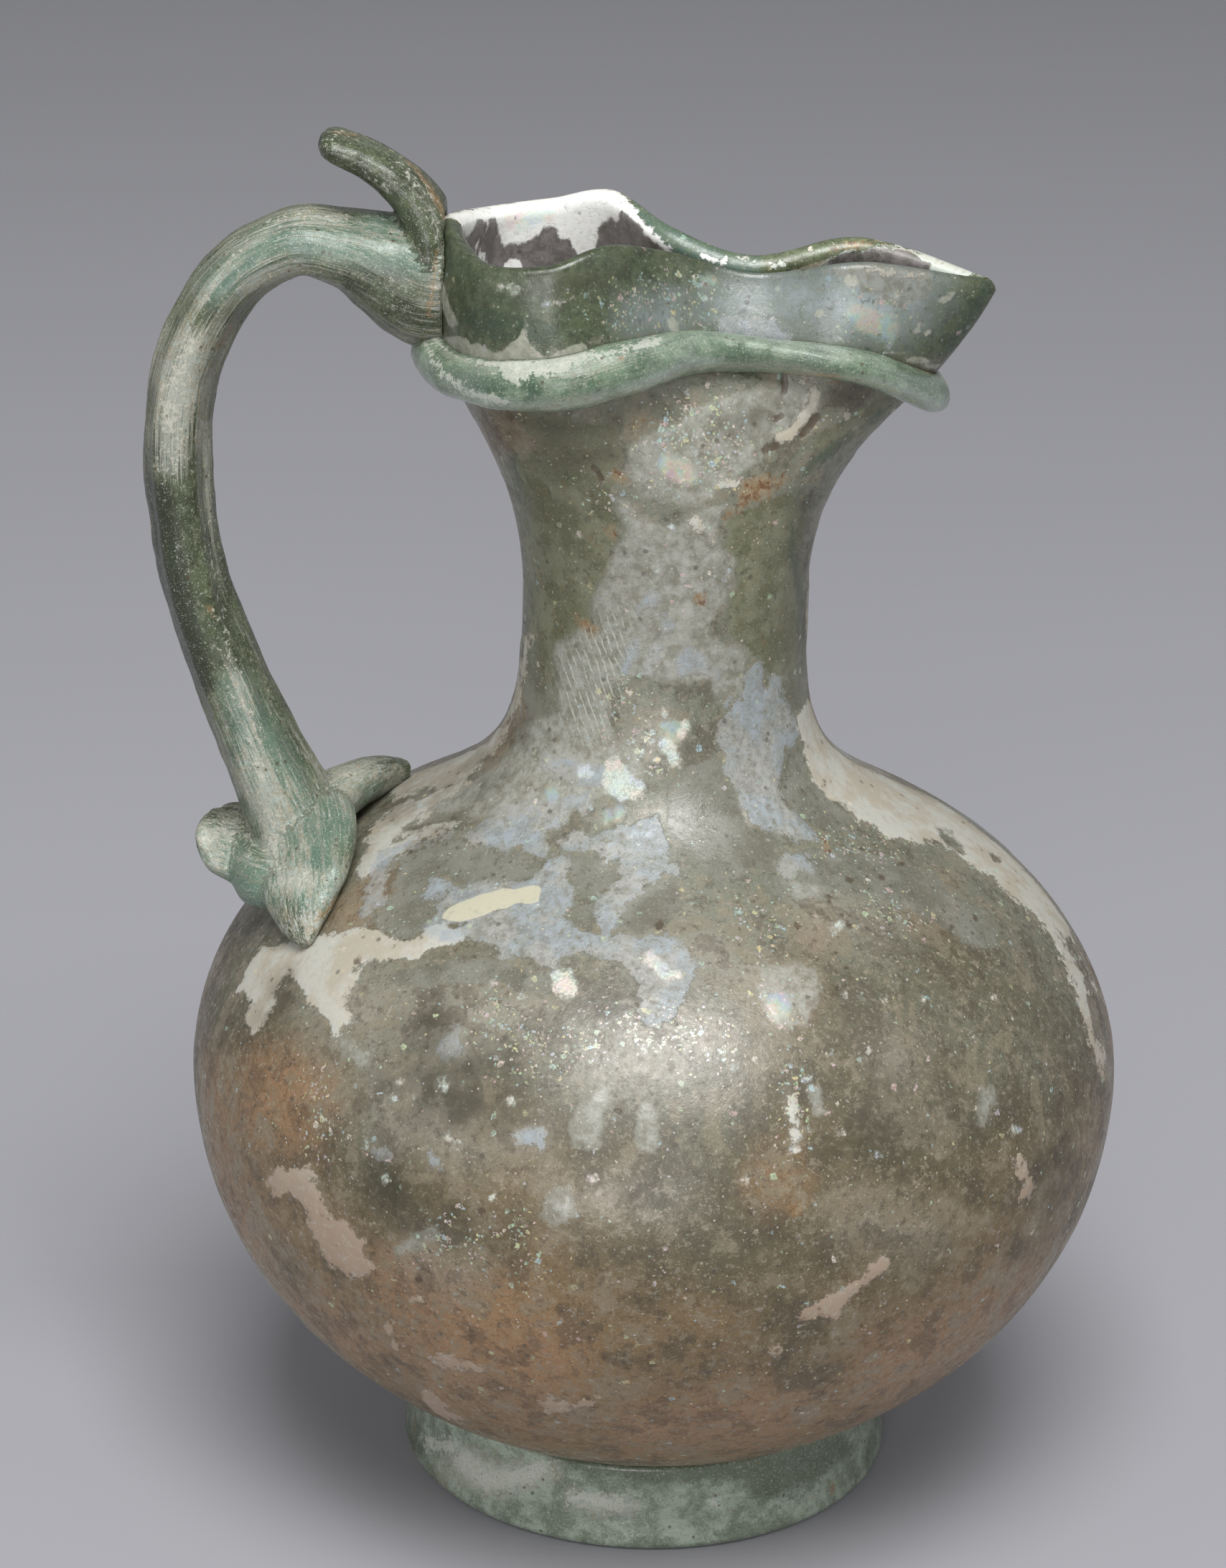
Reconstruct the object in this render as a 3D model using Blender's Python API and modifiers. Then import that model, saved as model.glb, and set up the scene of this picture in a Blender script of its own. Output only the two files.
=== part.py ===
"""Blown glass jug with a trefoil mouth, a wound trail, a strap handle and an applied foot ring.

The jug stands on z = 0, its spout towards +X and its handle towards -X. Sizes are in metres.
The body is turned about the vessel axis. Above the neck the wall is a loft from the round neck to
the pinched rim. Foot, trail and handle seat on the vessel's outer wall with a small gap.
"""
import math

import bmesh
import bpy
from mathutils import Vector

# Body: two half ellipses that share the belly, then a sweep up to the waist of the neck
BODY_RADIUS = 0.0370
BELLY_HEIGHT = 0.0342
LOWER_DEPTH = 0.0313
UPPER_RISE = 0.0253
BASE_RADIUS = 0.0125
BASE_KICK = 0.0009
SHOULDER_RADIUS = 0.0228
SHOULDER_PULL = 0.0120
NECK_RADIUS = 0.0110
WAIST_HEIGHT = 0.0735
WAIST_PULL = 0.0120

# Walls of the blown glass
BASE_WALL = 0.0020
BODY_WALL = 0.0013
NECK_WALL = 0.0015
RIM_WALL = 0.0016

# Mouth, from the vessel axis: the rim's reach, half widths and height, and the flare below it
SPOUT_REACH = 0.0244
SPOUT_HALF_WIDTH = 0.0045
PINCH_HALF_WIDTH = 0.0032
LOBE_HALF_WIDTH = 0.0119
BACK_REACH = 0.0174
RIM_HEIGHT = 0.1023
TIP_DROP = 0.0045
PINCH_DROP = 0.0032
FLARE_HEIGHT = 0.0872
FLARE_LIFT = 0.0018
FLARE_FRONT = 0.0193
FLARE_HALF_WIDTH = 0.0140
FLARE_BACK = 0.0200

# Foot ring
FOOT_RADIUS = 0.0199
FOOT_WAIST = 0.0006
FOOT_THICKNESS = 0.0032
FOOT_EDGE = 0.0009

# Trail round the mouth
TRAIL_BULGE = 0.0024
TRAIL_HEIGHT = 0.0040
TRAIL_THIN_HEIGHT = 0.0026

# Handle: the strap, its fold at the rim and its claw on the shoulder
HANDLE_REACH = 0.0375
HANDLE_WIDTH = 0.0088
HANDLE_THICKNESS = 0.0048
ARCH_HEIGHT = 0.1005
CLAW_LATITUDE = math.radians(42)
THUMB_RISE = 0.0060
THUMB_REACH = 0.0090
THUMB_WIDTH = 0.0056
THUMB_THICKNESS = 0.0028
FIN_DEPTH = 0.0094
RIB_DEPTH = 0.00022
RIB_COUNT = 6

# Clearance between pieces, and how finely the surfaces are divided
GAP = 0.0003
SEGMENTS = 40
MOUTH_RINGS = 10
SECTION_POINTS = 14


def mix(a, b, share):
    """Return the value that lies a share of the way from a to b."""
    return a + (b - a) * share


def bezier(points, share):
    """Return the point of a cubic Bezier curve at a share of its length."""
    rest = 1 - share
    weights = (rest ** 3, 3 * rest ** 2 * share, 3 * rest * share ** 2, share ** 3)
    return sum((point * weight for point, weight in zip(points, weights)), points[0] * 0)


def spline(keys, place):
    """Return the values at a place on a smooth curve through (place, values) keys."""
    last = len(keys) - 2
    index = min(max(sum(key[0] <= place for key in keys) - 1, 0), last)

    def slope(i):
        low, high = keys[max(i - 1, 0)], keys[min(i + 1, last + 1)]
        return (high[1] - low[1]) / (high[0] - low[0])

    start, end = keys[index], keys[index + 1]
    span = end[0] - start[0]
    t = (place - start[0]) / span
    return (start[1] * (2 * t ** 3 - 3 * t ** 2 + 1) + slope(index) * span * (t ** 3 - 2 * t ** 2 + t)
            + end[1] * (3 * t ** 2 - 2 * t ** 3) + slope(index + 1) * span * (t ** 3 - t ** 2))


def shoulder_point(latitude):
    """Return (radius, height) on the upper half ellipse of the body."""
    return Vector((BODY_RADIUS * math.cos(latitude), BELLY_HEIGHT + UPPER_RISE * math.sin(latitude)))


def lower_height(radius):
    """Return the height of the lower half ellipse at a radius."""
    return BELLY_HEIGHT - LOWER_DEPTH * math.sqrt(1 - (radius / BODY_RADIUS) ** 2)


def body_profile():
    """Return the outer profile as (radius, height, wall) from the base's rim to the neck's waist."""
    profile = []
    kick_steps, lower_steps, upper_steps, sweep_steps = 1, 9, 7, 6
    base_height = lower_height(BASE_RADIUS)
    for step in range(1, kick_steps + 1):
        radius = BASE_RADIUS * step / (kick_steps + 1)
        lift = BASE_KICK * (1 + math.cos(math.pi * radius / BASE_RADIUS)) / 2
        profile.append((radius, base_height + lift, BASE_WALL))
    start = -math.acos(BASE_RADIUS / BODY_RADIUS)
    for step in range(lower_steps):
        share = step / lower_steps
        latitude = start * (1 - share)
        wall = mix(BASE_WALL, BODY_WALL, min(1, 2 * share))
        height = BELLY_HEIGHT + LOWER_DEPTH * math.sin(latitude)
        profile.append((BODY_RADIUS * math.cos(latitude), height, wall))
    top = math.acos(SHOULDER_RADIUS / BODY_RADIUS)
    for step in range(upper_steps):
        radius, height = shoulder_point(top * step / upper_steps)
        profile.append((radius, height, BODY_WALL))
    shoulder = shoulder_point(top)
    along = Vector((-BODY_RADIUS * math.sin(top), UPPER_RISE * math.cos(top))).normalized()
    waist = Vector((NECK_RADIUS, WAIST_HEIGHT))
    sweep = (shoulder, shoulder + along * SHOULDER_PULL, waist - Vector((0, WAIST_PULL)), waist)
    for step in range(sweep_steps):
        share = step / sweep_steps
        radius, height = bezier(sweep, share)
        profile.append((radius, height, mix(BODY_WALL, NECK_WALL, share)))
    return profile


def mouth_keys():
    """Return keys of (angle, values) round the mouth, with some to spare past a full turn.

    The values are the rim's x, y and z, the flare's x, y and z, and the trail's place and height.
    """
    low_flare, high_flare = FLARE_HEIGHT, FLARE_HEIGHT + FLARE_LIFT
    slim, even = TRAIL_THIN_HEIGHT, (TRAIL_THIN_HEIGHT + TRAIL_HEIGHT) / 2
    half = [
        (0, SPOUT_REACH, 0, TIP_DROP, FLARE_FRONT, 0, low_flare, 0.70, slim),
        (24, 0.60 * SPOUT_REACH, SPOUT_HALF_WIDTH, 0.65 * PINCH_DROP,
         0.78 * FLARE_FRONT, 0.54 * FLARE_HALF_WIDTH, low_flare, 0.76, slim),
        (50, 0.25 * SPOUT_REACH, PINCH_HALF_WIDTH, PINCH_DROP,
         0.41 * FLARE_FRONT, 0.68 * FLARE_HALF_WIDTH, low_flare, 0.79, slim),
        (72, 0, mix(PINCH_HALF_WIDTH, LOBE_HALF_WIDTH, 0.15), 0.45 * PINCH_DROP,
         0.10 * FLARE_FRONT, 0.76 * FLARE_HALF_WIDTH, low_flare, 0.77, even),
        (94, -0.25 * BACK_REACH, mix(PINCH_HALF_WIDTH, LOBE_HALF_WIDTH, 0.74), 0,
         -0.20 * FLARE_BACK, 0.90 * FLARE_HALF_WIDTH, high_flare, 0.74, TRAIL_HEIGHT),
        (118, -0.53 * BACK_REACH, LOBE_HALF_WIDTH, 0.36 * PINCH_DROP,
         -0.48 * FLARE_BACK, FLARE_HALF_WIDTH, high_flare, 0.73, TRAIL_HEIGHT),
        (150, -0.84 * BACK_REACH, 0.79 * LOBE_HALF_WIDTH, 0.45 * PINCH_DROP,
         -0.85 * FLARE_BACK, 0.72 * FLARE_HALF_WIDTH, high_flare, 0.72, even),
        (180, -BACK_REACH, 0, 0.10 * PINCH_DROP, -FLARE_BACK, 0, high_flare, 0.70, even),
    ]
    keys = []
    for angle, x, y, drop, *rest in half:
        keys.append((angle, Vector((x, y, RIM_HEIGHT - drop, *rest))))
    flip = Vector((1, -1, 1, 1, -1, 1, 1, 1))
    far = [(360 - angle, Vector(a * b for a, b in zip(values, flip))) for angle, values in keys]
    keys += far[-2::-1]
    before = [(angle - 360, values) for angle, values in keys[-3:-1]]
    after = [(angle + 360, values) for angle, values in keys[1:3]]
    return before + keys + after


def mouth_point(values, angle, share):
    """Return a point of the mouth's outer wall, from the waist (share 0) to the rim (share 1)."""
    turn = Vector((math.cos(angle), math.sin(angle), 0)) * NECK_RADIUS
    waist = turn + Vector((0, 0, WAIST_HEIGHT))
    neck = turn + Vector((0, 0, FLARE_HEIGHT))
    rim, flare = Vector(values[0:3]), Vector(values[3:6])
    return bezier((waist, neck, flare, rim), share)


def vessel_grid():
    """Return the outer wall as rings of points from the base up to the rim, and each ring's wall."""
    angles = [2 * math.pi * step / SEGMENTS for step in range(SEGMENTS)]
    grid, walls = [], []
    for radius, height, wall in body_profile():
        grid.append([Vector((radius * math.cos(a), radius * math.sin(a), height)) for a in angles])
        walls.append(wall)
    keys = mouth_keys()
    values = [spline(keys, math.degrees(angle)) for angle in angles]
    for ring in range(MOUTH_RINGS + 1):
        share = ring / MOUTH_RINGS
        grid.append([mouth_point(value, angle, share) for value, angle in zip(values, angles)])
        walls.append(mix(NECK_WALL, RIM_WALL, share))
    return grid, walls


def offset_grid(grid, distances):
    """Return the rings moved along the surface's outward normals by one distance a ring."""
    moved = []
    last = len(grid) - 1
    for i, ring in enumerate(grid):
        below, above = grid[max(i - 1, 0)], grid[min(i + 1, last)]
        points = []
        for j, point in enumerate(ring):
            round_ring = ring[(j + 1) % len(ring)] - ring[j - 1]
            up_wall = above[j] - below[j]
            points.append(point + round_ring.cross(up_wall).normalized() * distances[i])
        moved.append(points)
    return moved


def add_rings(bm, rings):
    """Add the points of each ring to the mesh and return the rings of vertices."""
    return [[bm.verts.new(point) for point in ring] for ring in rings]


def bridge(bm, rings, closed=False):
    """Join successive rings of vertices with quads."""
    pairs = list(zip(rings, rings[1:]))
    if closed:
        pairs.append((rings[-1], rings[0]))
    for low, high in pairs:
        for j in range(len(low)):
            k = (j + 1) % len(low)
            bm.faces.new((low[j], low[k], high[k], high[j]))


def fan(bm, ring, point):
    """Close a ring of vertices with triangles to one point."""
    pole = bm.verts.new(point)
    for j in range(len(ring)):
        bm.faces.new((ring[j], ring[(j + 1) % len(ring)], pole))


def make_object(name, bm, collection):
    """Turn a bmesh into a smooth-shaded object in a collection."""
    bmesh.ops.recalc_face_normals(bm, faces=bm.faces)
    mesh = bpy.data.meshes.new(name)
    bm.to_mesh(mesh)
    bm.free()
    mesh.shade_smooth()
    mesh.set_sharp_from_angle(angle=math.radians(50))
    item = bpy.data.objects.new(name, mesh)
    collection.objects.link(item)
    return item


def middle(ring):
    """Return the middle of a ring of points."""
    return sum(ring, Vector()) / len(ring)


def make_vessel(collection):
    """Make the hollow vessel: outer wall, rounded rim, inner wall and floor."""
    grid, walls = vessel_grid()
    inner = offset_grid(grid, [-wall for wall in walls])
    crest = [(a + b) / 2 + Vector((0, 0, 0.4 * RIM_WALL)) for a, b in zip(grid[-1], inner[-1])]
    bm = bmesh.new()
    rings = add_rings(bm, grid + [crest] + inner[::-1])
    bridge(bm, rings)
    outer_base = lower_height(BASE_RADIUS) + BASE_KICK
    fan(bm, rings[0], Vector((0, 0, outer_base)))
    fan(bm, rings[-1], Vector((0, 0, outer_base + BASE_WALL)))
    return make_object("vessel", bm, collection)


def make_vessel_cutter(collection):
    """Make the solid that leaves the gap between the vessel's outer wall and what seats on it."""
    grid, _ = vessel_grid()
    grown = offset_grid(grid, [GAP] * len(grid))
    grown.append([point + Vector((0, 0, 2 * GAP)) for point in grown[-1]])
    bm = bmesh.new()
    rings = add_rings(bm, grown)
    bridge(bm, rings)
    fan(bm, rings[0], Vector((0, 0, lower_height(BASE_RADIUS) - GAP)))
    lid = middle(grown[-1])
    fan(bm, rings[-1], lid)
    return make_object("vessel_cutter", bm, collection)


def foot_profile():
    """Return the foot ring's section, down its outer side and back up its inner side.

    It is drawn up to where its outside would meet the body, so that the cut seats its whole top.
    """
    inner_radius = FOOT_RADIUS - FOOT_THICKNESS
    top = lower_height(FOOT_RADIUS)
    outer = [(FOOT_RADIUS - FOOT_WAIST, top), (FOOT_RADIUS - FOOT_WAIST, top / 2),
             (FOOT_RADIUS - FOOT_WAIST / 3, 2 * FOOT_EDGE), (FOOT_RADIUS, FOOT_EDGE),
             (FOOT_RADIUS - FOOT_EDGE, 0)]
    inner = [(inner_radius + FOOT_EDGE, 0), (inner_radius, FOOT_EDGE), (inner_radius, top)]
    return outer + inner


def make_foot_ring(collection, cutter):
    """Turn the foot ring and cut its top to the body's underside."""
    mesh = bpy.data.meshes.new("foot_ring")
    profile = foot_profile()
    edges = [(i, (i + 1) % len(profile)) for i in range(len(profile))]
    mesh.from_pydata([(radius, 0, height) for radius, height in profile], edges, [])
    foot = bpy.data.objects.new("foot_ring", mesh)
    collection.objects.link(foot)
    screw = foot.modifiers.new("turn", "SCREW")
    screw.steps = SEGMENTS
    screw.render_steps = SEGMENTS
    screw.use_merge_vertices = True
    screw.merge_threshold = 0.00001
    cut(foot, cutter)
    return foot


def cut(item, cutter):
    """Cut one object out of another."""
    boolean = item.modifiers.new("seat on " + cutter.name, "BOOLEAN")
    boolean.operation = "DIFFERENCE"
    boolean.object = cutter


def trail_section(values, angle, grow):
    """Return one section of the trail: along the wall with the gap, then round the outside."""
    place, height = values[6], values[7] + 2 * grow
    centre = mouth_point(values, angle, place)
    step = 0.001
    up_wall = (mouth_point(values, angle, place + step) - centre) / step
    reach = height / (2 * up_wall.length)
    return place, reach, centre, up_wall.normalized()


def trail_rings(grow=0.0):
    """Return the trail's sections all round the mouth, grown by a margin for a cutter."""
    keys = mouth_keys()
    wall_points, outside_points = 3, 7
    rings = []
    angles = [2 * math.pi * step / SEGMENTS for step in range(SEGMENTS)]
    turn = math.radians(0.5)
    for angle in angles:
        values = spline(keys, math.degrees(angle))
        beside = spline(keys, math.degrees(angle + turn))
        place, reach, centre, up_wall = trail_section(values, angle, grow)
        across = mouth_point(beside, angle + turn, place) - centre
        outward = across.cross(up_wall).normalized()
        low = mouth_point(values, angle, place - reach)
        high = mouth_point(values, angle, place + reach)
        ring = []
        for step in range(wall_points):
            share = mix(place + reach, place - reach, step / (wall_points - 1))
            ring.append(mouth_point(values, angle, share) + outward * (GAP - 4 * grow))
        for step in range(1, outside_points + 1):
            swing = math.pi * step / (outside_points + 1)
            along = mix(low, high, (1 - math.cos(swing)) / 2)
            ring.append(along + outward * (GAP + (TRAIL_BULGE + grow) * math.sin(swing) ** 0.8))
        rings.append(ring)
    return rings


def make_trail(collection, name="mouth_trail", grow=0.0):
    """Make the thread wound round the mouth."""
    bm = bmesh.new()
    bridge(bm, add_rings(bm, trail_rings(grow)), closed=True)
    return make_object(name, bm, collection)


def key(centre, side, half_width, half_thickness):
    """Return one key of a strap: its centre, its width's direction and its half sizes."""
    return Vector((*centre, *side, half_width, half_thickness))


def strap_rings(keys, steps, ribs=0.0):
    """Return the sections of a strap that runs smoothly through its keys."""
    places = [0.0]
    for before, after in zip(keys, keys[1:]):
        places.append(places[-1] + (Vector(after[0:3]) - Vector(before[0:3])).length)
    track = list(zip(places, keys))
    length, nudge = places[-1], places[-1] / 100
    rings = []
    for step in range(steps + 1):
        place = length * step / steps
        values = spline(track, place)
        ahead = Vector(spline(track, min(place + nudge, length))[0:3])
        along = (ahead - Vector(spline(track, max(place - nudge, 0))[0:3])).normalized()
        centre, side = Vector(values[0:3]), Vector(values[3:6])
        side = (side - along * side.dot(along)).normalized()
        face = side.cross(along)
        ring = []
        for point in range(SECTION_POINTS):
            turn = 2 * math.pi * point / SECTION_POINTS
            wide = math.copysign(abs(math.cos(turn)) ** 0.85, math.cos(turn)) * values[6]
            deep = math.sin(turn) * (values[7] - ribs * math.cos(RIB_COUNT * turn))
            ring.append(centre + side * wide + face * deep)
        rings.append(ring)
    return rings


def make_strap(name, collection, keys, steps, ribs=0.0):
    """Make a closed strap as an object."""
    rings = strap_rings(keys, steps, ribs)
    bm = bmesh.new()
    verts = add_rings(bm, rings)
    bridge(bm, verts)
    fan(bm, verts[0], middle(rings[0]))
    fan(bm, verts[-1], middle(rings[-1]))
    return make_object(name, bm, collection)


def handle_keys():
    """Return the keys of the strap from inside the rim, over the arch, down into the shoulder."""
    across = (0, 1, 0)
    wide, thick, fin = HANDLE_WIDTH / 2, HANDLE_THICKNESS / 2, FIN_DEPTH / 2
    foot_radius, foot_height = shoulder_point(CLAW_LATITUDE)
    joint_height = RIM_HEIGHT - fin

    def arch(x_share, z_share):
        return (mix(-BACK_REACH, -HANDLE_REACH, x_share), 0, mix(foot_height, ARCH_HEIGHT, z_share))

    def leg(x_share, z_share):
        return (mix(-foot_radius, -HANDLE_REACH, x_share), 0, mix(foot_height, ARCH_HEIGHT, z_share))

    return [
        key((-BACK_REACH + 1.25 * thick, 0, joint_height), across, wide, fin),
        key((-BACK_REACH - 0.50 * thick, 0, joint_height), across, 1.08 * wide, fin),
        key((-BACK_REACH - 1.75 * thick, 0, mix(joint_height, ARCH_HEIGHT, 0.45)), across, 1.04 * wide,
            0.82 * fin),
        key(arch(0.35, 0.990), across, wide, 1.2 * thick),
        key(arch(0.55, 1.0), across, wide, thick),
        key(arch(0.78, 0.941), across, wide, thick),
        key(arch(0.95, 0.814), across, wide, thick),
        key(arch(1.0, 0.676), across, wide, thick),
        key(leg(0.94, 0.52), across, wide, thick),
        key(leg(0.79, 0.393), across, wide, 1.05 * thick),
        key(leg(0.40, 0.19), across, 1.05 * wide, 1.25 * thick),
        key(leg(0.18, 0.089), across, 1.15 * wide, 1.45 * thick),
        key(leg(0, 0), across, 1.3 * wide, 1.6 * thick),
        key(leg(-0.15, -0.06), across, 1.3 * wide, 1.6 * thick),
    ]


def thumb_keys():
    """Return the keys of the thumb rest: up from the rim and folded back over the handle."""
    across = (0, 1, 0)
    wide, thick = THUMB_WIDTH / 2, THUMB_THICKNESS / 2
    rim = Vector((-BACK_REACH, 0, RIM_HEIGHT))
    tip = rim + Vector((-THUMB_REACH, 0, THUMB_RISE))

    def fold(x_share, z_share):
        return (mix(rim.x, tip.x, x_share), 0, mix(rim.z, tip.z, z_share))

    return [
        key(fold(0.09, -0.45), across, 1.5 * wide, 1.4 * thick),
        key(fold(0.11, -0.03), across, 1.45 * wide, 1.35 * thick),
        key(fold(0.22, 0.28), across, 1.25 * wide, 1.25 * thick),
        key(fold(0.40, 0.55), across, 1.08 * wide, 1.1 * thick),
        key(fold(0.61, 0.74), across, wide, thick),
        key(fold(0.81, 0.87), across, wide, 0.93 * thick),
        key(fold(0.96, 0.97), across, 0.86 * wide, 0.75 * thick),
        key(fold(1.01, 1.0), across, 0.4 * wide, 0.3 * thick),
    ]


def on_shoulder(turn, latitude, lift):
    """Return a point above the shoulder, its turn measured from the handle towards the near side."""
    radius, height = shoulder_point(math.radians(latitude))
    normal = Vector((radius / BODY_RADIUS ** 2, (height - BELLY_HEIGHT) / UPPER_RISE ** 2)).normalized()
    radius, height = Vector((radius, height)) + normal * lift
    azimuth = math.pi + math.radians(turn)
    return Vector((radius * math.cos(azimuth), radius * math.sin(azimuth), height))


def claw_keys(prong):
    """Return the keys of one prong that lies along the shoulder.

    A prong is rows of (turn, latitude beyond the claw's, lift, half width, half thickness), the last
    three as shares of the handle's thickness, its width and its thickness.
    """
    keys = []
    for turn, climb, lift, wide, thick in prong:
        latitude = math.degrees(CLAW_LATITUDE) + climb
        place = on_shoulder(turn, latitude, lift * HANDLE_THICKNESS)
        side = (on_shoulder(turn, latitude + 1, 0) - on_shoulder(turn, latitude, 0)).normalized()
        keys.append(key(place, side, wide * HANDLE_WIDTH, thick * HANDLE_THICKNESS))
    return keys


def back_prong_keys():
    """Return the keys of the prong that stands off the body behind the handle and curls up.

    Its rows are out, up and to the near side, then half width and half thickness, as shares of the
    handle's width, except up and half thickness, which are shares of its thickness.
    """
    foot_radius, foot_height = shoulder_point(CLAW_LATITUDE)
    tilted = (0, 0.9, 0.42)
    rows = [
        (0.02, 0.48, 0, 0.52, 0.45),
        (-0.50, 0.22, -0.11, 0.50, 0.33),
        (-0.78, 0.32, -0.20, 0.42, 0.26),
        (-0.92, 0.55, -0.25, 0.28, 0.18),
        (-0.97, 0.70, -0.27, 0.10, 0.06),
    ]
    keys = []
    for out, up, near, wide, thick in rows:
        height = foot_height + up * HANDLE_THICKNESS
        centre = (-foot_radius + out * HANDLE_WIDTH, near * HANDLE_WIDTH, height)
        keys.append(key(centre, tilted, wide * HANDLE_WIDTH, thick * HANDLE_THICKNESS))
    return keys


def make_handle(collection, helpers, cutters):
    """Make the handle: strap, thumb rest and claw joined, then seated on the vessel and the trail."""
    handle = make_strap("handle", collection, handle_keys(), 36, RIB_DEPTH)
    near_prong = [
        (0, 1, 0.54, 0.52, 0.50),
        (10, 1.5, 0.46, 0.54, 0.44),
        (18, -0.5, 0.33, 0.44, 0.33),
        (24, -4, 0.19, 0.26, 0.23),
        (28, -6.5, 0.08, 0.06, 0.10),
    ]
    far_prong = [
        (0, 2, 0.54, 0.50, 0.50),
        (-7, 6, 0.46, 0.44, 0.44),
        (-14, 9.5, 0.33, 0.34, 0.35),
        (-20, 12.5, 0.17, 0.16, 0.19),
    ]
    joined = [
        make_strap("thumb_rest", helpers, thumb_keys(), 14),
        make_strap("near_prong", helpers, claw_keys(near_prong), 10),
        make_strap("far_prong", helpers, claw_keys(far_prong), 8),
        make_strap("back_prong", helpers, back_prong_keys(), 10),
    ]
    for item in joined:
        union = handle.modifiers.new("join " + item.name, "BOOLEAN")
        union.operation = "UNION"
        union.object = item
    for cutter in cutters:
        cut(handle, cutter)
    return handle


def make_glass(name, colour, roughness):
    """Make a see-through glass material."""
    material = bpy.data.materials.new(name)
    material.use_nodes = True
    shader = material.node_tree.nodes["Principled BSDF"]
    shader.inputs["Base Color"].default_value = (*colour, 1)
    shader.inputs["Roughness"].default_value = roughness
    shader.inputs["Metallic"].default_value = 0
    shader.inputs["Transmission Weight"].default_value = 0.6
    material.diffuse_color = (*colour, 1)
    return material


def make_collection(name):
    """Make a collection in the scene."""
    collection = bpy.data.collections.new(name)
    bpy.context.scene.collection.children.link(collection)
    return collection


def main():
    """Build the jug."""
    for item in list(bpy.data.objects):
        bpy.data.objects.remove(item)
    jug = make_collection("glass_jug")
    helpers = make_collection("cutters")
    vessel_cutter = make_vessel_cutter(helpers)
    trail_cutter = make_trail(helpers, "trail_cutter", GAP)
    vessel = make_vessel(jug)
    foot = make_foot_ring(jug, vessel_cutter)
    trail = make_trail(jug)
    handle = make_handle(jug, helpers, [trail_cutter, vessel_cutter])

    vessel.data.materials.append(make_glass("weathered_glass", (0.42, 0.41, 0.33), 0.45))
    foot.data.materials.append(make_glass("foot_glass", (0.40, 0.47, 0.40), 0.35))
    trail.data.materials.append(make_glass("trail_glass", (0.38, 0.52, 0.44), 0.30))
    handle.data.materials.append(make_glass("handle_glass", (0.33, 0.46, 0.40), 0.35))

    axis = bpy.data.objects.new("vessel_axis", None)
    jug.objects.link(axis)
    axis.location.x = (HANDLE_REACH + HANDLE_THICKNESS / 2 - BODY_RADIUS) / 2
    for item in list(jug.objects) + list(helpers.objects):
        if item != axis:
            item.parent = axis
    for item in helpers.objects:
        item.hide_render = True
        item.display_type = "WIRE"


main()
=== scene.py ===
"""Looks of a weathered blown glass jug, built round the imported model.

The vessel, foot ring, mouth trail and handle are rebuilt as fine meshes from the same sizes as the
model's solids, with their relief, and each replaces its node. Sizes are in metres, and the places of
the weathering on the side that the photograph shows are given in the photograph's own pixels.
"""
import math

import bpy
import numpy as np
from mathutils import Matrix, Vector, noise
from mathutils.bvhtree import BVHTree
from mathutils.kdtree import KDTree


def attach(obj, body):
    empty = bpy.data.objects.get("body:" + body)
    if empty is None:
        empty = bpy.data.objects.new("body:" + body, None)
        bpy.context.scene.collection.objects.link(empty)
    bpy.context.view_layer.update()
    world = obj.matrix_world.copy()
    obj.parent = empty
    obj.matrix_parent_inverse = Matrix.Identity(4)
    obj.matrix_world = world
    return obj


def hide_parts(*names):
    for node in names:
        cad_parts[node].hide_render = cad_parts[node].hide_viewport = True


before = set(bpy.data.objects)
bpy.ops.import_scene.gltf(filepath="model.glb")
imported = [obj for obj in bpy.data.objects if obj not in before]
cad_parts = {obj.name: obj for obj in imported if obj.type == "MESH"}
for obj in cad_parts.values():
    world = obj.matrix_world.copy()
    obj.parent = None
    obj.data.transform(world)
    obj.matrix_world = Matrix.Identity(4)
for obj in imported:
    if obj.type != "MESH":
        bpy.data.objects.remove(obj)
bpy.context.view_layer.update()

MM = 0.001

# The photograph: its size in pixels, and the camera that took it
PHOTO_WIDTH = 1708
PHOTO_HEIGHT = 2184
SENSOR_HEIGHT = 36.0
LENS = 95.2
CAMERA_PLACE = Vector((-0.00224, -0.30569, 0.17247))
CAMERA_PITCH = math.radians(20.62)
CAMERA_ROLL = math.radians(1.171)

# Body, neck and walls, as in the model
BODY_RADIUS = 0.0370
BELLY_HEIGHT = 0.0342
LOWER_DEPTH = 0.0313
UPPER_RISE = 0.0253
BASE_RADIUS = 0.0125
BASE_KICK = 0.0009
SHOULDER_RADIUS = 0.0228
SHOULDER_PULL = 0.0120
NECK_RADIUS = 0.0110
WAIST_HEIGHT = 0.0735
WAIST_PULL = 0.0120
BASE_WALL = 0.0020
BODY_WALL = 0.0013
NECK_WALL = 0.0015
RIM_WALL = 0.0016

# Mouth, as in the model
SPOUT_REACH = 0.0244
SPOUT_HALF_WIDTH = 0.0045
PINCH_HALF_WIDTH = 0.0032
LOBE_HALF_WIDTH = 0.0119
BACK_REACH = 0.0174
RIM_HEIGHT = 0.1023
TIP_DROP = 0.0045
PINCH_DROP = 0.0032
FLARE_HEIGHT = 0.0872
FLARE_LIFT = 0.0018
FLARE_FRONT = 0.0193
FLARE_HALF_WIDTH = 0.0140
FLARE_BACK = 0.0200

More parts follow.
